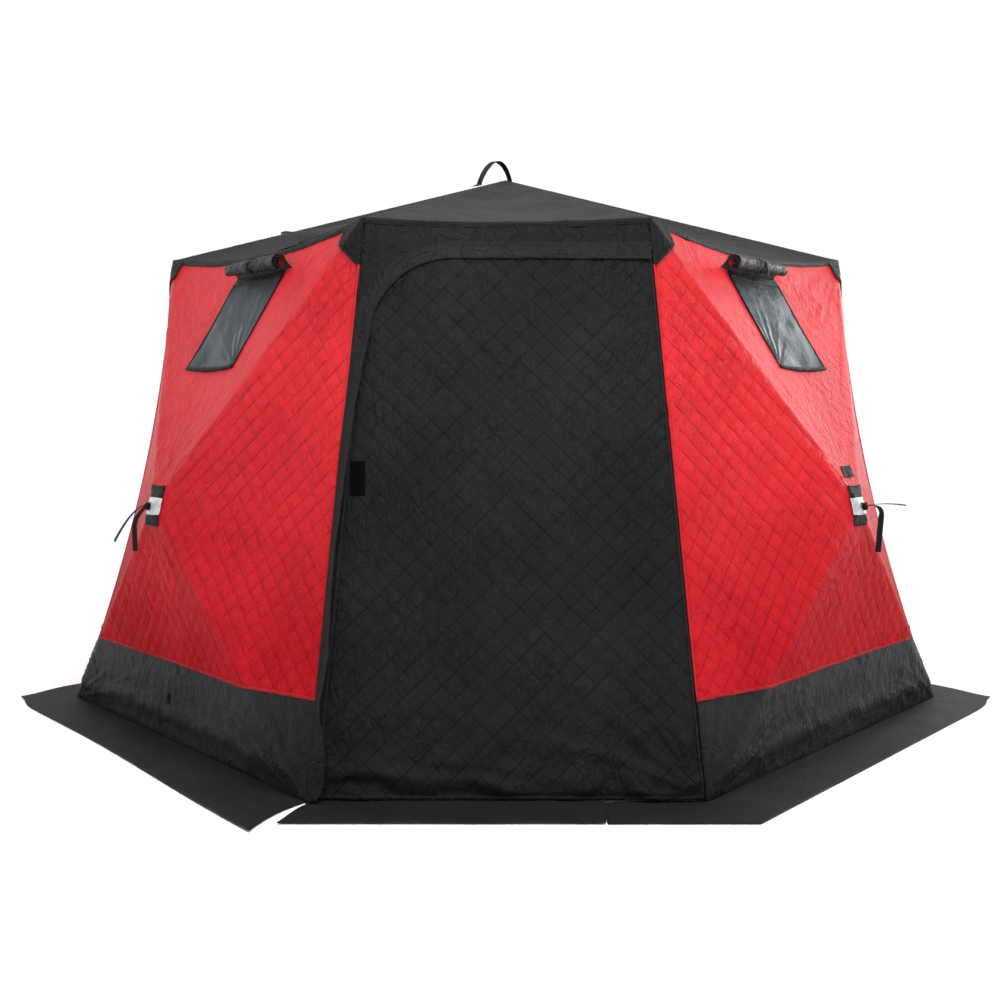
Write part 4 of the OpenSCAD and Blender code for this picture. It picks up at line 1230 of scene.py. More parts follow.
def build_pull_strap(w):
    """The knotted strap that pulls the hub out, its two tails, and the grommet that it comes through."""
    k, d = w[3], w[2]
    f, at = wall_frame(w), wall_surface(w)
    skin = float((at(np.array(0.0), np.array(HUB_V)) - f[0]) @ f[3])
    knot_n = skin + 0.019  # how far out the knot is, in front of the cloth
    out = f[3]
    flat = unit(np.array([out[0], out[1], 0]))
    sideways = f[1]
    centre = in_frame(f, 0.0, HUB_V, knot_n)
    pieces = [tube("neck", np.array([in_frame(f, 0.0, HUB_V, n) for n in np.linspace(POP - 0.045 + 0.031, knot_n,
                                                                                     6)]), 0.0048, WEBBING, 10, f[1])]
    t = np.linspace(0, 2 * np.pi, 60)
    knot = np.stack([np.sin(t) + 2 * np.sin(2 * t), np.cos(t) - 2 * np.cos(2 * t), -np.sin(3 * t) * 1.2], -1) * 0.0040
    path = centre + knot[:, :1] * f[1] + knot[:, 1:2] * f[2] + knot[:, 2:] * f[3]
    pieces.append(tube("knot", path, 0.0058, WEBBING, 9, f[3]))
    s = np.linspace(0, 1, 26)
    start = centre + out * 0.008
    if d < 0:
        # one tail stands straight out, the other bends down and hangs
        rise = 0.012 * hump(s * 0.7) - 0.006 * s
        reach = start + np.outer(0.150 * s, flat) + np.outer(0.02 * s, sideways) + np.outer(rise, UP)
        normal = UP + np.outer(0.25 * s, sideways)
        a = np.linspace(0, np.pi / 2, 12)
        bend = start + np.outer(0.030 + 0.030 * np.sin(a), flat) + np.outer(-0.030 * (1 - np.cos(a)), UP)
        drop = bend[-1] + np.outer(np.linspace(0.008, 0.150, 14), 0.05 * sideways - UP - 0.10 * flat)
        first = start + np.outer(np.linspace(0, 0.026, 5), flat)
        hang = np.concatenate([first, bend, drop])
        turned = unit(0.5 * flat - sideways * 0.9)
        over = np.outer(np.sin(a), mix(flat, turned, 0.5)) + np.outer(np.cos(a), UP)
        hn = np.concatenate([np.tile(UP, (5, 1)), over, np.tile(turned, (14, 1))])
    else:
        # both tails hang
        fall = 0.010 * hump(s * 0.6) - 0.150 * s**1.4
        reach = start + np.outer(0.105 * s**0.9, flat) - np.outer(0.06 * s, sideways) + np.outer(fall, UP)
        normal = np.outer(0.35 + 0.75 * s, flat) + np.outer(1 - 0.5 * s, UP)
        hang = start + np.outer(0.050 * smooth(0, 0.6, s), flat) + np.outer(0.014 * s, sideways) \
            + np.outer(-0.175 * s**1.5, UP)
        hn = np.outer(0.2 + s, flat) + np.outer(1 - s, UP) + np.outer(0.9 * s, sideways)
    pieces.append(ribbon("tail", reach, normal, STRAP_W * (1 - 0.45 * np.exp(-s / 0.12)), 0.0018, WEBBING))
    w2 = STRAP_W * (1 - 0.45 * np.exp(-np.linspace(0, 1, len(hang)) / 0.12))
    pieces.append(ribbon("tail", hang, hn, w2, 0.0018, WEBBING))
    ride_in(joined("pull_webbing_" + k, pieces), "wall_hub_" + k, "pull_strap_" + k)
    a, r = np.linspace(0, 2 * np.pi, 33), 0.0135
    p, _ = lifted(at, r * np.cos(a), HUB_V + r * np.sin(a), np.full(33, 0.0125))
    follow_in(joined("grommet_" + k, [tube("ring", p, 0.0026, METAL, 8, f[3])]), w)


def build_band_trim(w):
    """The red seam between the quilted cloth and the base band, with two rows of stitches."""
    k, seed = w[3], SEEDS[w[3]]
    at, line = wall_surface(w), band_line(w)
    u = np.linspace(-BASE_U + TAPER * 0.33 + 0.004, BASE_U - TAPER * 0.33 - 0.004, 190)
    v = line(u) + 0.006
    p, n = lifted(at, u, v, wall_puff(w, u, v, seed) * 0.6 + 0.0028)
    seam_strip = ribbon("band_seam_" + k, p, n, 0.012, 0.0012, RED_TRIM, 0.0006)
    rows = [stitches("row", p + n * 0.0028 + unit(np.cross(np.gradient(p, axis=0), n)) * dx, n,
                     THREAD_RED) for dx in (-0.0036, 0.0036)]
    follow_in(joined("band_seam_" + k, [seam_strip] + rows), w)


def build_loop(w):
    """A webbing loop bar-tacked to the base band."""
    at, centre_u = wall_surface(w), -w[2] * 0.005
    t = np.linspace(0, 1, 24)
    v = 0.150 + 0.042 * t
    u = np.full_like(v, centre_u)
    p, n = lifted(at, u, v, 0.009 + 0.007 * hump(t) ** 0.6)
    pieces = [ribbon("loop", p, n, 0.020, STITCHED_TH, WEBBING)]
    p, n = lifted(at, u, v, np.full_like(v, 0.0085))
    pieces.append(ribbon("back", p, n, 0.021, 0.0014, PATCH))
    for at_v in (0.152, 0.190):
        p, n = lifted(at, np.linspace(centre_u - 0.008, centre_u + 0.008, 6), np.full(6, at_v), np.full(6, 0.0115))
        pieces.append(stitches("tack", p, n, THREAD, 0.003, 0.0022))
    follow_in(joined("band_loop_" + w[3], pieces), w, "band_loops")


for wall in WALLS:
    build_window(wall)
    build_roll(wall)
    build_corner_patches(wall)
    build_hub_patch(wall)
    build_pull_strap(wall)
    build_band_trim(wall)
for wall in (FL, BR):
    build_loop(wall)


# ---------------------------------------------------------------- corner seams and the roof's hem

def build_corner_seams():
    """Pipings up the corners: black on the base band, red on the wall, black again below the eave."""
    for i, a in enumerate(CORNERS):
        for name, z0, z1, look, slot_name in (
                ("red", BAND_H, WALL_H - EDGE_SEAM_DROP, RED_TRIM, "red_quilt"),
                ("black", 0.006, BAND_H, PATCH, "black_quilt"),
                ("top", WALL_H - EDGE_SEAM_DROP, WALL_H - 0.002, PATCH, "patch_fabric")):
            z = np.linspace(z0, z1, 40)
            p = seam(a, z) + polar(0.0015, a, 0.0)
            r = 0.0042 + 0.0006 * noise(z / 0.05, z * 0, 1200 + i)
            ride_in(tube(f"corner_piping_{name}_{i + 1}", p, r, look, 8, (0, 1, 0)), "root")


def build_roof_hem():
    """The hem that hangs over the eaves, with its row of stitches."""
    pieces, n_along, n_down = [], 90, 6
    for i, a, b, droop, lean in gores():
        t = np.linspace(0, 1, n_along)
        e = eave(a, b, t, droop)
        az = (a + b) / 2
        out = polar(1.0, az, 0.0)
        n = polar(cosd(lean), az, sind(lean))
        down = np.array([0, 0, -1.0]) + 0.18 * out
        swell = 0.002 * noise(t * 14, t * 0, 1300 + i)
        x = np.linspace(0, 1, n_down)
        grid = e[:, None] + np.array([0, 0, 0.0065]) + out * (0.0045 + 0.003 * hump(x))[None, :, None] \
            + down * (0.024 * x)[None, :, None] + n * (swell[:, None] * x)[..., None]
        cloth = flat_uv(*np.broadcast_arrays((t * 1.8)[:, None], x * 0.024))
        pieces.append(grid_shell("hem", grid, grid - n * HEM_TH, cloth, PATCH, -n))
        pieces.append(stitches("row", grid[2:-2, 4] + n * 0.0015, np.tile(n, (n_along - 4, 1)), THREAD))
    ride_in(joined("roof_hem", pieces), "root")


build_corner_seams()
build_roof_hem()


# ---------------------------------------------------------------- doors and their walls

DOORS = ((0.0, "front"), (180.0, "back"))
DOOR_SEEDS = {"front": 2000, "back": 2200}
ARC_V = DOOR_TOP - DOOR_ARC
ARC_U = -float(door_edge_u(ARC_V)) + STRIP_W + DOOR_ARC
DOOR_LOW = 0.012


def door_outside(u, v):
    """Distance from the door's outline, negative inside it. Its hinge side is left open."""
    left = (-door_edge_u(v) + STRIP_W) - u
    flat = np.maximum(left, v - DOOR_TOP)
    corner = np.hypot(u - ARC_U, v - ARC_V) - DOOR_ARC
    return np.where((u < ARC_U) & (v > ARC_V), corner, flat)


def door_left(v):
    """u of the door's free side at a height, round its upper corner."""
    over = np.clip(v - ARC_V, 0, DOOR_ARC)
    return np.where(v > ARC_V, ARC_U - np.sqrt(np.maximum(DOOR_ARC**2 - over**2, 0)), -door_edge_u(v) + STRIP_W)


def build_door_wall(az, k, seed):
    """The fixed cloth above the door and the narrow strip beside its free side."""
    f = door_frame(az)
    half_top = TOP_R * sind(DOOR_HALF)

    def top(u):
        t = np.clip((u / half_top + 1) / 2, 0, 1)
        return (WALL_H - DOOR_DROOP * hump(t)) / cosd(DOOR_LEAN) - 0.002

    def clip(u, v):
        v = np.clip(v, ARC_V - 0.01, top(u))
        side = door_edge_u(v) - 0.003
        u = np.clip(u, -side, side)
        out = door_outside(u, v)
        near = (out < STEP * 0.6) & (out > -STEP * 1.2)
        e = 1e-4
        gu = (door_outside(u + e, v) - door_outside(u - e, v)) / (2 * e)
        gv = (door_outside(u, v + e) - door_outside(u, v - e)) / (2 * e)
        move = np.where(near, DOOR_GAP - out, 0)
        side = door_edge_u(v) - 0.003
        return np.clip(u + gu * move, -side, side), v + gv * move

    u, v, tris = lattice(-door_edge_u(ARC_V), door_edge_u(ARC_V), ARC_V - 0.01, DOOR_V, clip)
    mid_u, mid_v = u[tris].mean(1), v[tris].mean(1)
    tris = tris[door_outside(mid_u, mid_v) > 0]
    used, tris = np.unique(tris, return_inverse=True)
    u, v, tris = u[used], v[used], tris.reshape(-1, 3)
    out = door_outside(u, v)
    edge = smooth(0.0, 0.03, out - DOOR_GAP) * smooth(0.0, 0.02, door_edge_u(v) - 0.003 - np.abs(u)) \
        * smooth(0, 0.02, top(u) - v)
    gather = 0.0035 * noise(u / 0.045, v / 0.3, seed) * smooth(DOOR_TOP - 0.02, DOOR_TOP + 0.05, v)
    lift = edge * (0.003 + gather + 0.003 * crumple(u, v, seed + 3, 0.07) + 0.003 * noise(u / 0.2, v / 0.1, seed + 5))
    p = in_frame(f, u, v, 0.001 + np.maximum(lift, 0))
    wall = shell("door_header_" + k, p, [tris], FLAP_FLAT, flat_uv(u, v))
    ride_in(wall, "root", "door_wall_" + k)
    v = np.linspace(0.006, ARC_V, 180)
    lift = 0.002 + 0.0025 * np.abs(noise(v / 0.07, v * 0, seed + 8))
    path = in_frame(f, -door_edge_u(v) + 0.0125, v, lift)
    strip = ribbon("door_strip_" + k, path, np.tile(f[3], (180, 1)), 0.020, CLOTH_TH, FLAP_FLAT, 0.0015)
    ride_in(strip, "root", "door_wall_" + k)


def door_lift(u, v, seed):
    """How far the door's quilted cloth stands out of its plane."""
    right_u = door_edge_u(v) - 0.006
    du_left, du_right = u - door_left(v), right_u - u
    dv_top, dv_low = DOOR_TOP - v, v - DOOR_LOW
    inside = np.minimum(np.minimum(du_left, du_right), dv_top)
    edge = 1 - np.exp(-np.clip(inside, 0, None) / 0.012)
    wp, wq = quilt_weights(u, v, 0.35, 0.55)
    q = quilting(u, v, wp * 0.9, wq * 0.9)
    bottom = smooth(0.42, 0.02, v)
    low_right, low_left = float(door_edge_u(0.0)), -float(door_edge_u(0.0)) + STRIP_W
    folds = 0.016 * fan(u, v, low_right - 0.02, 0.03, seed + 11, 7.5, 0.34, 0.10)
    folds += 0.010 * fan(u, v, low_left + 0.01, 0.06, seed + 12, 8, 0.26, 0.08)
    folds += 0.006 * fan(u, v, float(door_edge_u(DOOR_TOP)), DOOR_TOP, seed + 13, 14, 0.35)
    folds += 0.005 * fan(u, v, ARC_U - 0.2, DOOR_TOP - 0.06, seed + 14, 12, 0.30)
    slope = (v - 0.04) - 0.18 * (low_right - u)
    deep = 0.014 * noise((u - 0.5 * slope) / 0.16, slope / 0.085 + 1.2 * noise(u / 0.3, v / 0.2, seed + 16),
                         seed + 15) * bottom
    gather = 0.004 * noise(u / 0.05, v / 0.35, seed + 17) * smooth(0.30, 0.02, dv_top)
    slow = 0.009 * noise(u / 0.5, v / 0.6,
                         seed + 18) + 0.014 * hump(np.clip((u / door_edge_u(v) + 1) / 2, 0, 1)) * smooth(0, 0.3, v)
    rough = crumple(u, v, seed + 20, 0.10) + 0.6 * crumple(u + 3, v + 1, seed + 30, 0.055)
    sag = 0.020 * np.exp(-((v - 0.075) / 0.05) ** 2) * (0.6 + 0.6 * noise(u / 0.22, v * 0, seed + 19))
    tuck = -0.004 * np.exp(-(dv_low / 0.012) ** 2)
    puff = 0.0030 * q * (0.7 + 0.4 * noise(u / 0.2, v / 0.2, seed + 50))
    total = puff + edge * (0.004 + 1.2 * folds + 1.3 * deep + gather + slow + 0.0052 * rough + np.maximum(sag,
                                                                                                          0)) + tuck
    return np.maximum(total, 0.0015)


def on_door(az, seed):
    """Places points on the quilted cloth of a door: u, v and how far above it."""
    f = door_frame(az)

    def place(u, v, lift=0.0):
        return lifted(lambda a, b: in_frame(f, a, b), u, v, door_lift(u, v, seed) + lift)
    return place


def build_door(az, k, seed):
    """The quilted door, its bindings and its hook-and-loop patch."""
    f = door_frame(az)

    def clip(u, v):
        v = np.clip(v, DOOR_LOW, DOOR_TOP)
        return np.clip(u, door_left(v), door_edge_u(v) - 0.006), v

    u, v, tris = lattice(-door_edge_u(0), door_edge_u(0), DOOR_LOW, DOOR_TOP, clip)
    p = in_frame(f, u, v, door_lift(u, v, seed))
    panel = shell("door_cloth_" + k, p, [tris], BLACK, flat_uv(u, v), quilt_tone(u, v, 0.35, 0.55))
    body = "door_" + k
    ride_in(panel, body, body)
    place = on_door(az, seed)
    # bindings round the door: down the free side, along the bottom and up the hinge side
    pieces = []
    free_v, hinge_v = np.linspace(DOOR_LOW, ARC_V, 150), np.linspace(DOOR_LOW, DOOR_TOP, 150)
    foot_u = np.linspace(float(door_left(np.array(0.02))) + 0.004, float(door_edge_u(0.02)) - 0.012, 160)
    for uu, vv, width in ((door_left(free_v) + 0.007, free_v, 0.013),
                          (foot_u, np.full(160, DOOR_LOW + 0.008), 0.014),
                          (door_edge_u(hinge_v) - 0.0115, hinge_v, 0.010)):
        q, n = place(uu, vv, 0.0008)
        pieces.append(ribbon("binding", q, n, width, STITCHED_TH, FLAP, 0.0012))
        pieces.append(stitches("row", q + n * 0.0028, n, THREAD, 0.008, 0.005))
    ride_in(joined("door_binding_" + k, pieces), body)
    hook = quad_cloth("hook_patch_" + k, place, [(-0.541, 1.045), (-0.490, 1.045), (-0.490, 1.165), (-0.541, 1.165)],
                      22, 44, lambda s, t: 0.0026 + 0.0006 * noise(s * 3, t * 6, seed + 60), 0.0022, HOOK)
    ride_in(hook, body)


def build_zip(az, k, seed):
    """The zip under the storm flap: a tape and a coil on each side of the gap."""
    f, place, body = door_frame(az), on_door(az, seed), "door_" + k
    vv = np.linspace(0.03, ARC_V, 220)
    arc = np.linspace(np.pi, np.pi / 2, 60)[1:]
    across = np.linspace(ARC_U, float(door_edge_u(DOOR_TOP)) - 0.02, 90)[1:]
    for name, off, ride_on in (("zip_tape_door_", -0.0055, body), ("zip_tape_wall_", DOOR_GAP + 0.0055, "root")):
        uu = np.concatenate([-door_edge_u(vv) + STRIP_W - off, ARC_U + (DOOR_ARC + off) * np.cos(arc), across])
        ww = np.concatenate([vv, ARC_V + (DOOR_ARC + off) * np.sin(arc), np.full(len(across), DOOR_TOP + off)])
        if ride_on == "root":
            q, n = in_frame(f, uu, ww, 0.0025), np.tile(f[3], (len(uu), 1))
        else:
            q, n = place(uu, ww, 0.0006)
        side = path_frame(q, n) * (0.0052 if ride_on == "root" else -0.0052)
        tape = ribbon("tape", q, n, 0.011, TAPE_TH, WEBBING)
        coil = stitches("coil", q + side + n * 0.0012, n, COIL, 0.0034, 0.0022, 0.0013)
        ride_in(joined(name + k, [tape, coil]), ride_on)


def flap_inner(v):
    """Where the free edge of the storm flap lies, as a distance from the corner seam."""
    at = [0.0, 0.03, 0.06, 0.135, 0.21, 0.31, 0.40, 0.47, 0.55, 0.70, 0.85, 1.0, 1.25, 1.36, 1.5, ARC_V]
    width = [0.030, 0.049, 0.057, 0.054, 0.041, 0.016, 0.024, 0.033, 0.028, 0.020, 0.018, 0.025, 0.034, 0.040, 0.050,
             0.0615]
    fine = np.linspace(0, ARC_V, 200)
    rough = np.interp(fine, at, width)
    kernel = np.exp(-(np.arange(-9, 10) / 4.0) ** 2)
    soft = np.convolve(np.pad(rough, 9, mode="edge"), kernel / kernel.sum(), "valid")
    return np.interp(v, fine, soft)


def build_flap(az, k, seed):
    """The storm flap over the zip: up the free side of the door, round the arc and along the top."""
    f = door_frame(az)
    n_left, n_arc, n_top, cols = 150, 44, 80, 15
    vv = np.linspace(0.006, ARC_V, n_left)
    outer_arc, inner_arc = DOOR_ARC + FLAP_W / 2 - 0.005, DOOR_ARC - FLAP_W / 2 - 0.005
    arc = np.linspace(np.pi, np.pi / 2, n_arc + 1)[1:]
    x_top = np.linspace(ARC_U, float(door_edge_u(DOOR_TOP)) - 0.004, n_top + 1)[1:]
    edge_u = -door_edge_u(vv)
    ou = np.concatenate([edge_u - 0.004 + 0.008 * smooth(ARC_V - 0.45, ARC_V, vv), ARC_U + outer_arc * np.cos(arc),
                         x_top])
    ov = np.concatenate([vv, ARC_V + outer_arc * np.sin(arc), np.full(n_top, ARC_V + outer_arc)])
    ou = np.maximum(ou, -door_edge_u(ov) - 0.004 + 0.008 * smooth(ARC_V - 0.45, ARC_V, ov))
    iu = np.concatenate([edge_u + flap_inner(vv), ARC_U + inner_arc * np.cos(arc), x_top])
    iv = np.concatenate([vv, ARC_V + inner_arc * np.sin(arc), np.full(n_top, ARC_V + inner_arc)])
    run = np.concatenate([[0], np.cumsum(np.hypot(np.diff((ou + iu) / 2), np.diff((ov + iv) / 2)))])
    width = np.hypot(iu - ou, iv - ov)
    stand = np.sqrt(np.maximum(0.060**2 - width**2, 0)) * 0.62
    stand = np.where(ov < ARC_V, stand, 0)
    free = 0.0125 + 0.0035 * noise(run / 0.11, run * 0, seed) + 0.002 * noise(run / 0.04, run * 0, seed + 1)
    swell = 0.030 * np.exp(-((ov - 0.13) / 0.10) ** 2) * (ov < 0.6)
    x = np.linspace(0, 1, cols)
    bow = np.sin(np.pi * x) ** 0.8
    u = ou[:, None] * (1 - x) + iu[:, None] * x
    v = ov[:, None] * (1 - x) + iv[:, None] * x
    r, c = np.meshgrid(run, x, indexing="ij")
    rise = 0.0045 + (free + stand)[:, None] * x**1.25 + swell[:, None] * np.sin(np.pi * np.clip(x * 0.75, 0, 1))
    rise = rise + 0.004 * bow * (0.7 + 0.5 * noise(r / 0.13, c * 1.5, seed + 2))
    rise = rise + (0.0018 + 0.0035 * smooth(0.5, 0.1, v)) * ridge(r / 0.045 + 1.5 * c, c * 0.8 + r / 0.2, seed + 3,
                                                                  4) * bow
    rise = rise + 0.002 * crumple(r, c * 0.055, seed + 4, 0.05)
    door_under = door_lift(np.clip(u, door_left(v), None), v, DOOR_SEEDS[k])
    over = (door_outside(u, v) < 0) & (u < door_edge_u(v) - 0.006)
    rise = np.maximum(rise, np.where(over, door_under + 0.0045, 0.0045))
    p = in_frame(f, u, v, rise)
    wavy = 0.0025 * noise(run / 0.07, run * 0, seed + 5)
    p += (wavy[:, None] * x**2)[..., None] * f[1]
    p[..., 2] = np.maximum(p[..., 2], 0.006)
    cloth = np.stack([c * 0.06, r, np.zeros_like(r)], -1)
    normal = unit(np.cross(np.gradient(p, axis=1), np.gradient(p, axis=0)))
    normal = normal * np.sign(np.sum(normal * f[3], -1, keepdims=True))
    flap = grid_shell("storm_flap_cloth_" + k, p, p - HEM_TH * normal, cloth, FLAP, f[3], (60, 7))
    ride_in(flap, "root", "storm_flap_" + k)
    pieces = [ribbon("edge", p[:, -1] - normal[:, -1] * 0.001, normal[:, -1], 0.007, 0.0022, FLAP, 0.001)]
    for j in (1, 3, cols - 2):
        pieces.append(stitches("row", p[:, j], normal[:, j], THREAD, 0.008, 0.005))
    ride_in(joined("flap_seams_" + k, pieces), "root")


def build_door_skirt(az, k):
    """The door's own skirt, folded flat on the ground."""
    base = polar(BASE_R * cosd(DOOR_HALF), az, 0)
    x_way, out = np.array([cosd(az), sind(az), 0.0]), polar(1.0, az, 0.0)
    half = BASE_R * sind(DOOR_HALF)
    t, s = np.meshgrid(np.linspace(0, 1, 120), np.linspace(0, 1, 26))
    y = 0.004 + (SKIRT_W - 0.004) * s
    left = -half + 0.012 - 0.071 * s
    right = SPLIT_U - SPLIT_GAP * smooth(0.55, 1.0, s) + 0.004
    x = left + (right - left) * t
    ground = base + x[..., None] * x_way + y[..., None] * out
    rise = skirt_rise(ground, s, 2600) + 0.003 * smooth(0.97, 1.0, t) + 0.0026
    rise = rise + 0.004 * np.exp(-(s / 0.05) ** 2)
    skirt_mesh("door_skirt_cloth_" + k, ground, rise, x, y, "door_skirt_" + k, "door_skirt_" + k)


def skirt_rise(p, s, seed):
    """Height of the laid skirt over the ground: low waves that start away from the wall, and small creases."""
    x, y = p[..., 0], p[..., 1]
    wave = 0.5 + 0.5 * noise(x / 0.23, y / 0.23, seed)
    return 0.0036 + 0.0085 * wave * wave * smooth(0.0, 0.35, s) + 0.0018 * crumple(x, y, seed + 3, 0.09)


def skirt_mesh(name, ground, rise, x, y, body, replaced):
    """A skirt piece from its ground points and their heights."""
    p = ground.copy()
    p[..., 2] = rise
    obj = grid_shell(name, p, p - 0.0024 * UP, flat_uv(x, y), SKIRT, UP)
    ride_in(obj, body, replaced)


def build_wall_skirt(side):
    """One side's skirt, laid round three corners: from the split beside a door, past the side corner, to its tip."""
    mirror = -1 if side == "left" else 1
    # worked out for the right side, then turned by half a turn for the left
    corners = [DOOR_HALF, 90.0, 180.0 - DOOR_HALF]
    base = [polar(BASE_R, a, 0.0) for a in corners]
    azs = [0.0, (corners[0] + corners[1]) / 2, (corners[1] + corners[2]) / 2]
    half_door = BASE_R * sind(DOOR_HALF)
    start_in = base[0] - np.array([half_door - SPLIT_U, 0, 0])
    rows = []
    # stations along the inner edge with the matching point on the outer edge
    outs = [polar(1.0, a, 0.0) for a in azs]

    def mitre(p, a, b):
        m = unit(a + b)
        return p + m * SKIRT_W / np.dot(m, a)

    tip_way = np.array([cosd(azs[2]), sind(azs[2]), 0.0])
    inner = [start_in, base[0], base[1], base[2]]
    outer = [start_in + outs[0] * SKIRT_W, mitre(base[0], outs[0], outs[1]), mitre(base[1], outs[1], outs[2]),
             base[2] + outs[2] * SKIRT_W + tip_way * FREE_TIP]
    counts = [40, 150, 150]
    for i in range(3):
        t = np.linspace(0, 1, counts[i] + 1)
        t = t if i == 2 else t[:-1]
        rows.append((mix(inner[i], inner[i + 1], t), mix(outer[i], outer[i + 1], t), np.full(len(t), i) + t))
    a = np.concatenate([r[0] for r in rows])
    b = np.concatenate([r[1] for r in rows])
    where = np.concatenate([r[2] for r in rows])
    s = np.linspace(0, 1, 26)
    p = a[:, None] + (b - a)[:, None] * s[None, :, None]
    # the free tip is cut round at its outer corner
    near_tip = smooth(2.86, 3.0, where)
    flare = smooth(2.35, 3.0, where)
    p = p + (flare[:, None] * s**2 * 0.050)[..., None] * outs[2]
    p = p - (near_tip[:, None] * (0.03 * hump(s) - 0.012 * s**6))[..., None] * tip_way
    at_side = np.exp(-((where - 2) / 0.07) ** 2)
    p = p - (at_side[:, None] * s**3 * 0.055)[..., None] * unit(outs[1] + outs[2])
    share = np.broadcast_to(s, p.shape[:2])
    rise = skirt_rise(p, share, 2700) + 0.004 * np.exp(-(share / 0.05) ** 2)
    rise = rise * (1 - 0.75 * smooth(0.3, 0.0, where)[:, None]) + 0.006 * (near_tip[:, None] * s**2)
    if mirror < 0:
        p = p * np.array([-1, -1, 1])
    along = run_of(p[:, 12])
    x = np.broadcast_to(along[:, None], p.shape[:2])
    skirt_mesh("skirt_cloth_" + side, p, rise, x, share * SKIRT_W, "root", "snow_skirt_" + side)


HOOK = plain_cloth("hook_patch", (0.0022, 0.0024, 0.003), (0.0034, 0.0036, 0.004), 0.9, specular=0.04, crease=0.1,
                   weave_bump=0.6)
COIL = Shader("zip_coil", (0.018, 0.018, 0.02), 0.35, Specular_IOR_Level=0.4).finish()
FLAP_FLAT = plain_cloth("door_wall_fabric", (0.0050, 0.0050, 0.0055), (0.0085, 0.0085, 0.0092), 0.55, specular=0.12,
                        crease=0.9)

for door_az, door_name in DOORS:
    turn = 0 if door_name == "front" else 200
    build_door_wall(door_az, door_name, 1900 + turn)
    build_door(door_az, door_name, DOOR_SEEDS[door_name])
    build_zip(door_az, door_name, DOOR_SEEDS[door_name])
    build_flap(door_az, door_name, 2100 + turn)
    build_door_skirt(door_az, door_name)
for side_name in ("left", "right"):
    build_wall_skirt(side_name)


# ---------------------------------------------------------------- vent and roof strap

def over_vent_gore(t, r, lift):
    """A point over the front left gore, with t from the door's corner."""
    return gore_point(360 - DOOR_HALF, 270.0, DROOP, t, r, lift)


def build_vent():
    """The vent's hood, open towards the side, and the dark mesh under it."""
    t0, t1, r0, r1, peak = 0.045, 0.50, 0.77, 0.985, 0.68
    cols, rows = 60, 18
    a, b = np.meshgrid(np.linspace(0, 1, cols), np.linspace(0, 1, rows))
    # the open end slants back from the peak to the outer edge
    end = t1 + 0.03 * smooth(peak, 0, b) - 0.22 * np.clip((b - peak) / (1 - peak), 0, 1)
    t = t0 + (end - t0) * a
    r = r0 + (r1 - r0) * b
    slope = np.minimum(b / peak, (1 - b) / (1 - peak))
    dip = 0.10 * np.exp(-((b - peak) / 0.06) ** 2)  # rounds the hood's fold
    lift = 0.0065 + (0.004 + 0.068 * a**1.1) * (slope - dip) + 0.004 * hump(b / peak) * (b < peak) * a
    lift = lift + 0.0025 * ridge(a * 2.6, b * 6 + a, 3100, 3) * smooth(0, 0.1, b) + 0.0015 * crumple(t, r, 3110, 0.06)
    p = over_vent_gore(t, r, lift)
    # the hood's underside is lined with the near-black mesh material: painted shade under the hood
    hood = grid_shell("vent_hood_cloth", p, p - 0.0022 * UP, flat_uv(t * 1.8, r * 1.5), ROOF, UP, lining=MESH)
    ride_in(hood, "vent_hood", "vent_hood")
    up = np.tile(UP, (cols, 1))
    hem = ribbon("hem", p[-1] - 0.002 * UP, unit(up + 0.6 * polar(1.0, 305, 0)), 0.014, 0.0026, PATCH, 0.001)
    hem_side = ribbon("side", p[:, -1], np.tile(UP, (rows, 1)), 0.012, 0.0024, PATCH, 0.001)
    row = stitches("row", p[-2] + 0.0005 * UP, up, THREAD)
    ride_in(joined("vent_hood_hem", [hem, hem_side, row]), "vent_hood")
    # dark mesh in the opening, set in the roof under the hood
    a, b = np.meshgrid(np.linspace(0, 1, 40), np.linspace(0, 1, 14))
    t = t0 + 0.05 + (t1 - t0 - 0.07) * a
    r = r0 + 0.03 + (r1 - r0 - 0.07) * b
    p = over_vent_gore(t, r, 0.0075 + 0.002 * hump(a) * hump(b))
    ride_in(grid_shell("vent_mesh", p, p - 0.0012 * UP, flat_uv(t * 1.8, r * 1.5), MESH, UP), "root")


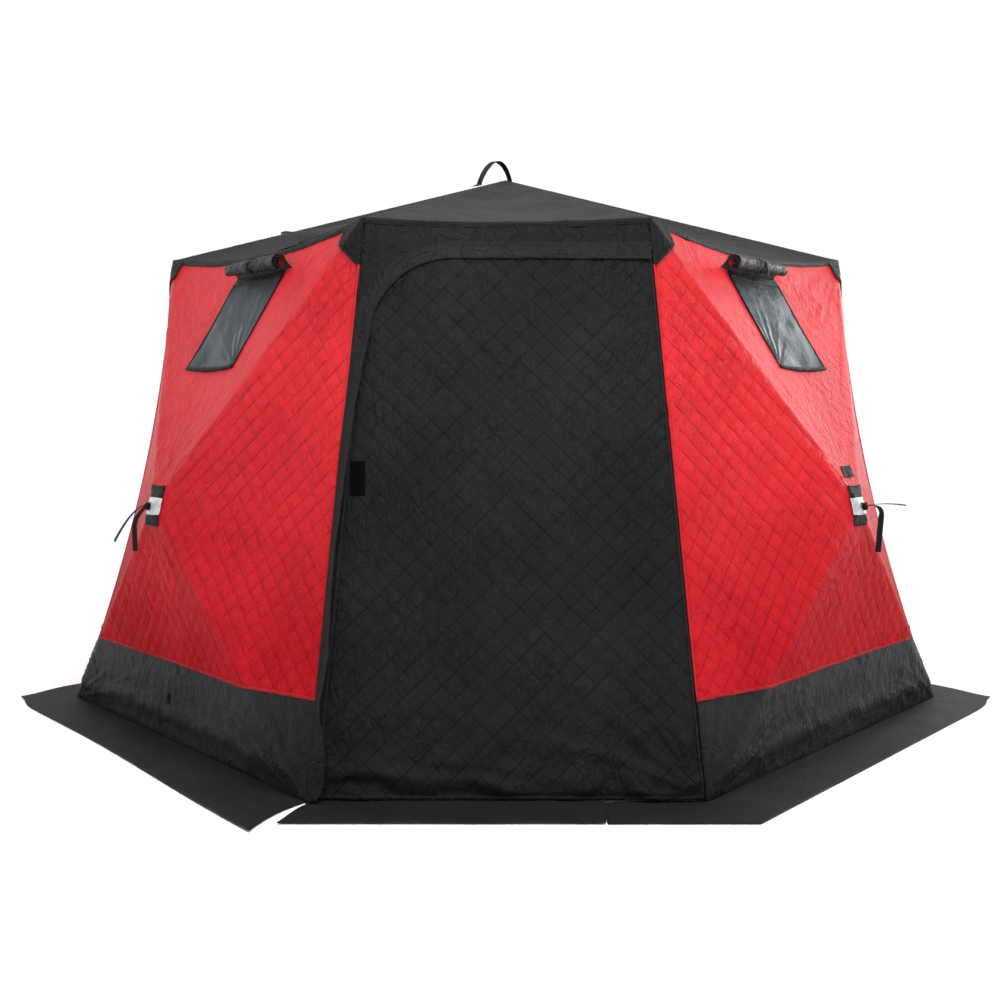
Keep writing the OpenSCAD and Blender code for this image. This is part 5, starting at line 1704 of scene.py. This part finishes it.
def roof_height(x, y):
    """Height of the CAD roof's cone over a point near the peak."""
    return PEAK_H - (PEAK_H - WALL_H) * np.hypot(x, y) / TOP_R


def build_roof_strap():
    """The strap over the peak, arched and a little twisted, sewn down at both ends."""
    start, end = np.array([-0.115, -0.285]), np.array([0.02, 0.045])
    t = np.linspace(0, 1, 60)
    line = start + (end - start) * t[:, None]
    over = 0.012
    z = (1 - t) * (roof_height(*start) + over) + t * (roof_height(*end) + over)
    arch = 0.095 * (4 * t * (1 - t)) ** 0.8 * (1 + 0.25 * (t - 0.5))
    p = np.concatenate([line, (z + arch)[:, None]], 1)
    along = unit(np.gradient(p, axis=0))
    way = unit(np.array([*(end - start), 0.0]))
    side = np.cross(way, UP)
    normal = np.cross(side, along)
    normal = normal * np.sign(normal[:, 2:3] + 1e-9)
    twist = np.radians(16 * np.sin(t * np.pi * 2.2))
    normal = normal * np.cos(twist)[:, None] + side * np.sin(twist)[:, None]
    width = STRAP_W * (1 + 0.06 * noise(t * 9, t * 0, 3200))
    strap = ribbon("strap", p, normal, width, 0.0022, WEBBING, 0.0008)
    pieces = [strap, stitches("edge", p + np.cross(normal, along) * 0.0085 + normal * 0.003, normal, THREAD)]
    for where, sign in ((start, -1), (end, 1)):
        box = np.linspace(-0.005, 0.05, 12)
        xy = where + np.outer(box * sign, way[:2])
        q = np.concatenate([xy, (roof_height(xy[:, 0], xy[:, 1]) + 0.0105)[:, None]], 1)
        n = np.tile([0, 0, 1.0], (12, 1))
        pieces.append(ribbon("foot", q, n, STRAP_W, 0.0022, WEBBING, 0.0006))
        for dx in (-0.007, 0.007):
            pieces.append(stitches("tack", q[1:-1] + side * dx + np.array([0, 0, 0.003]), n[1:-1], THREAD, 0.004,
                                   0.003))
    follow_roof_hub(joined("roof_strap_webbing", pieces), "roof_strap")


# near black; it also lines the vent hood's underside as painted shade
MESH = plain_cloth("vent_mesh", (0.001, 0.001, 0.001), (0.002, 0.002, 0.002), 0.9, specular=0.0, crease=0.0,
                   weave_bump=1.0)
build_vent()
build_roof_strap()
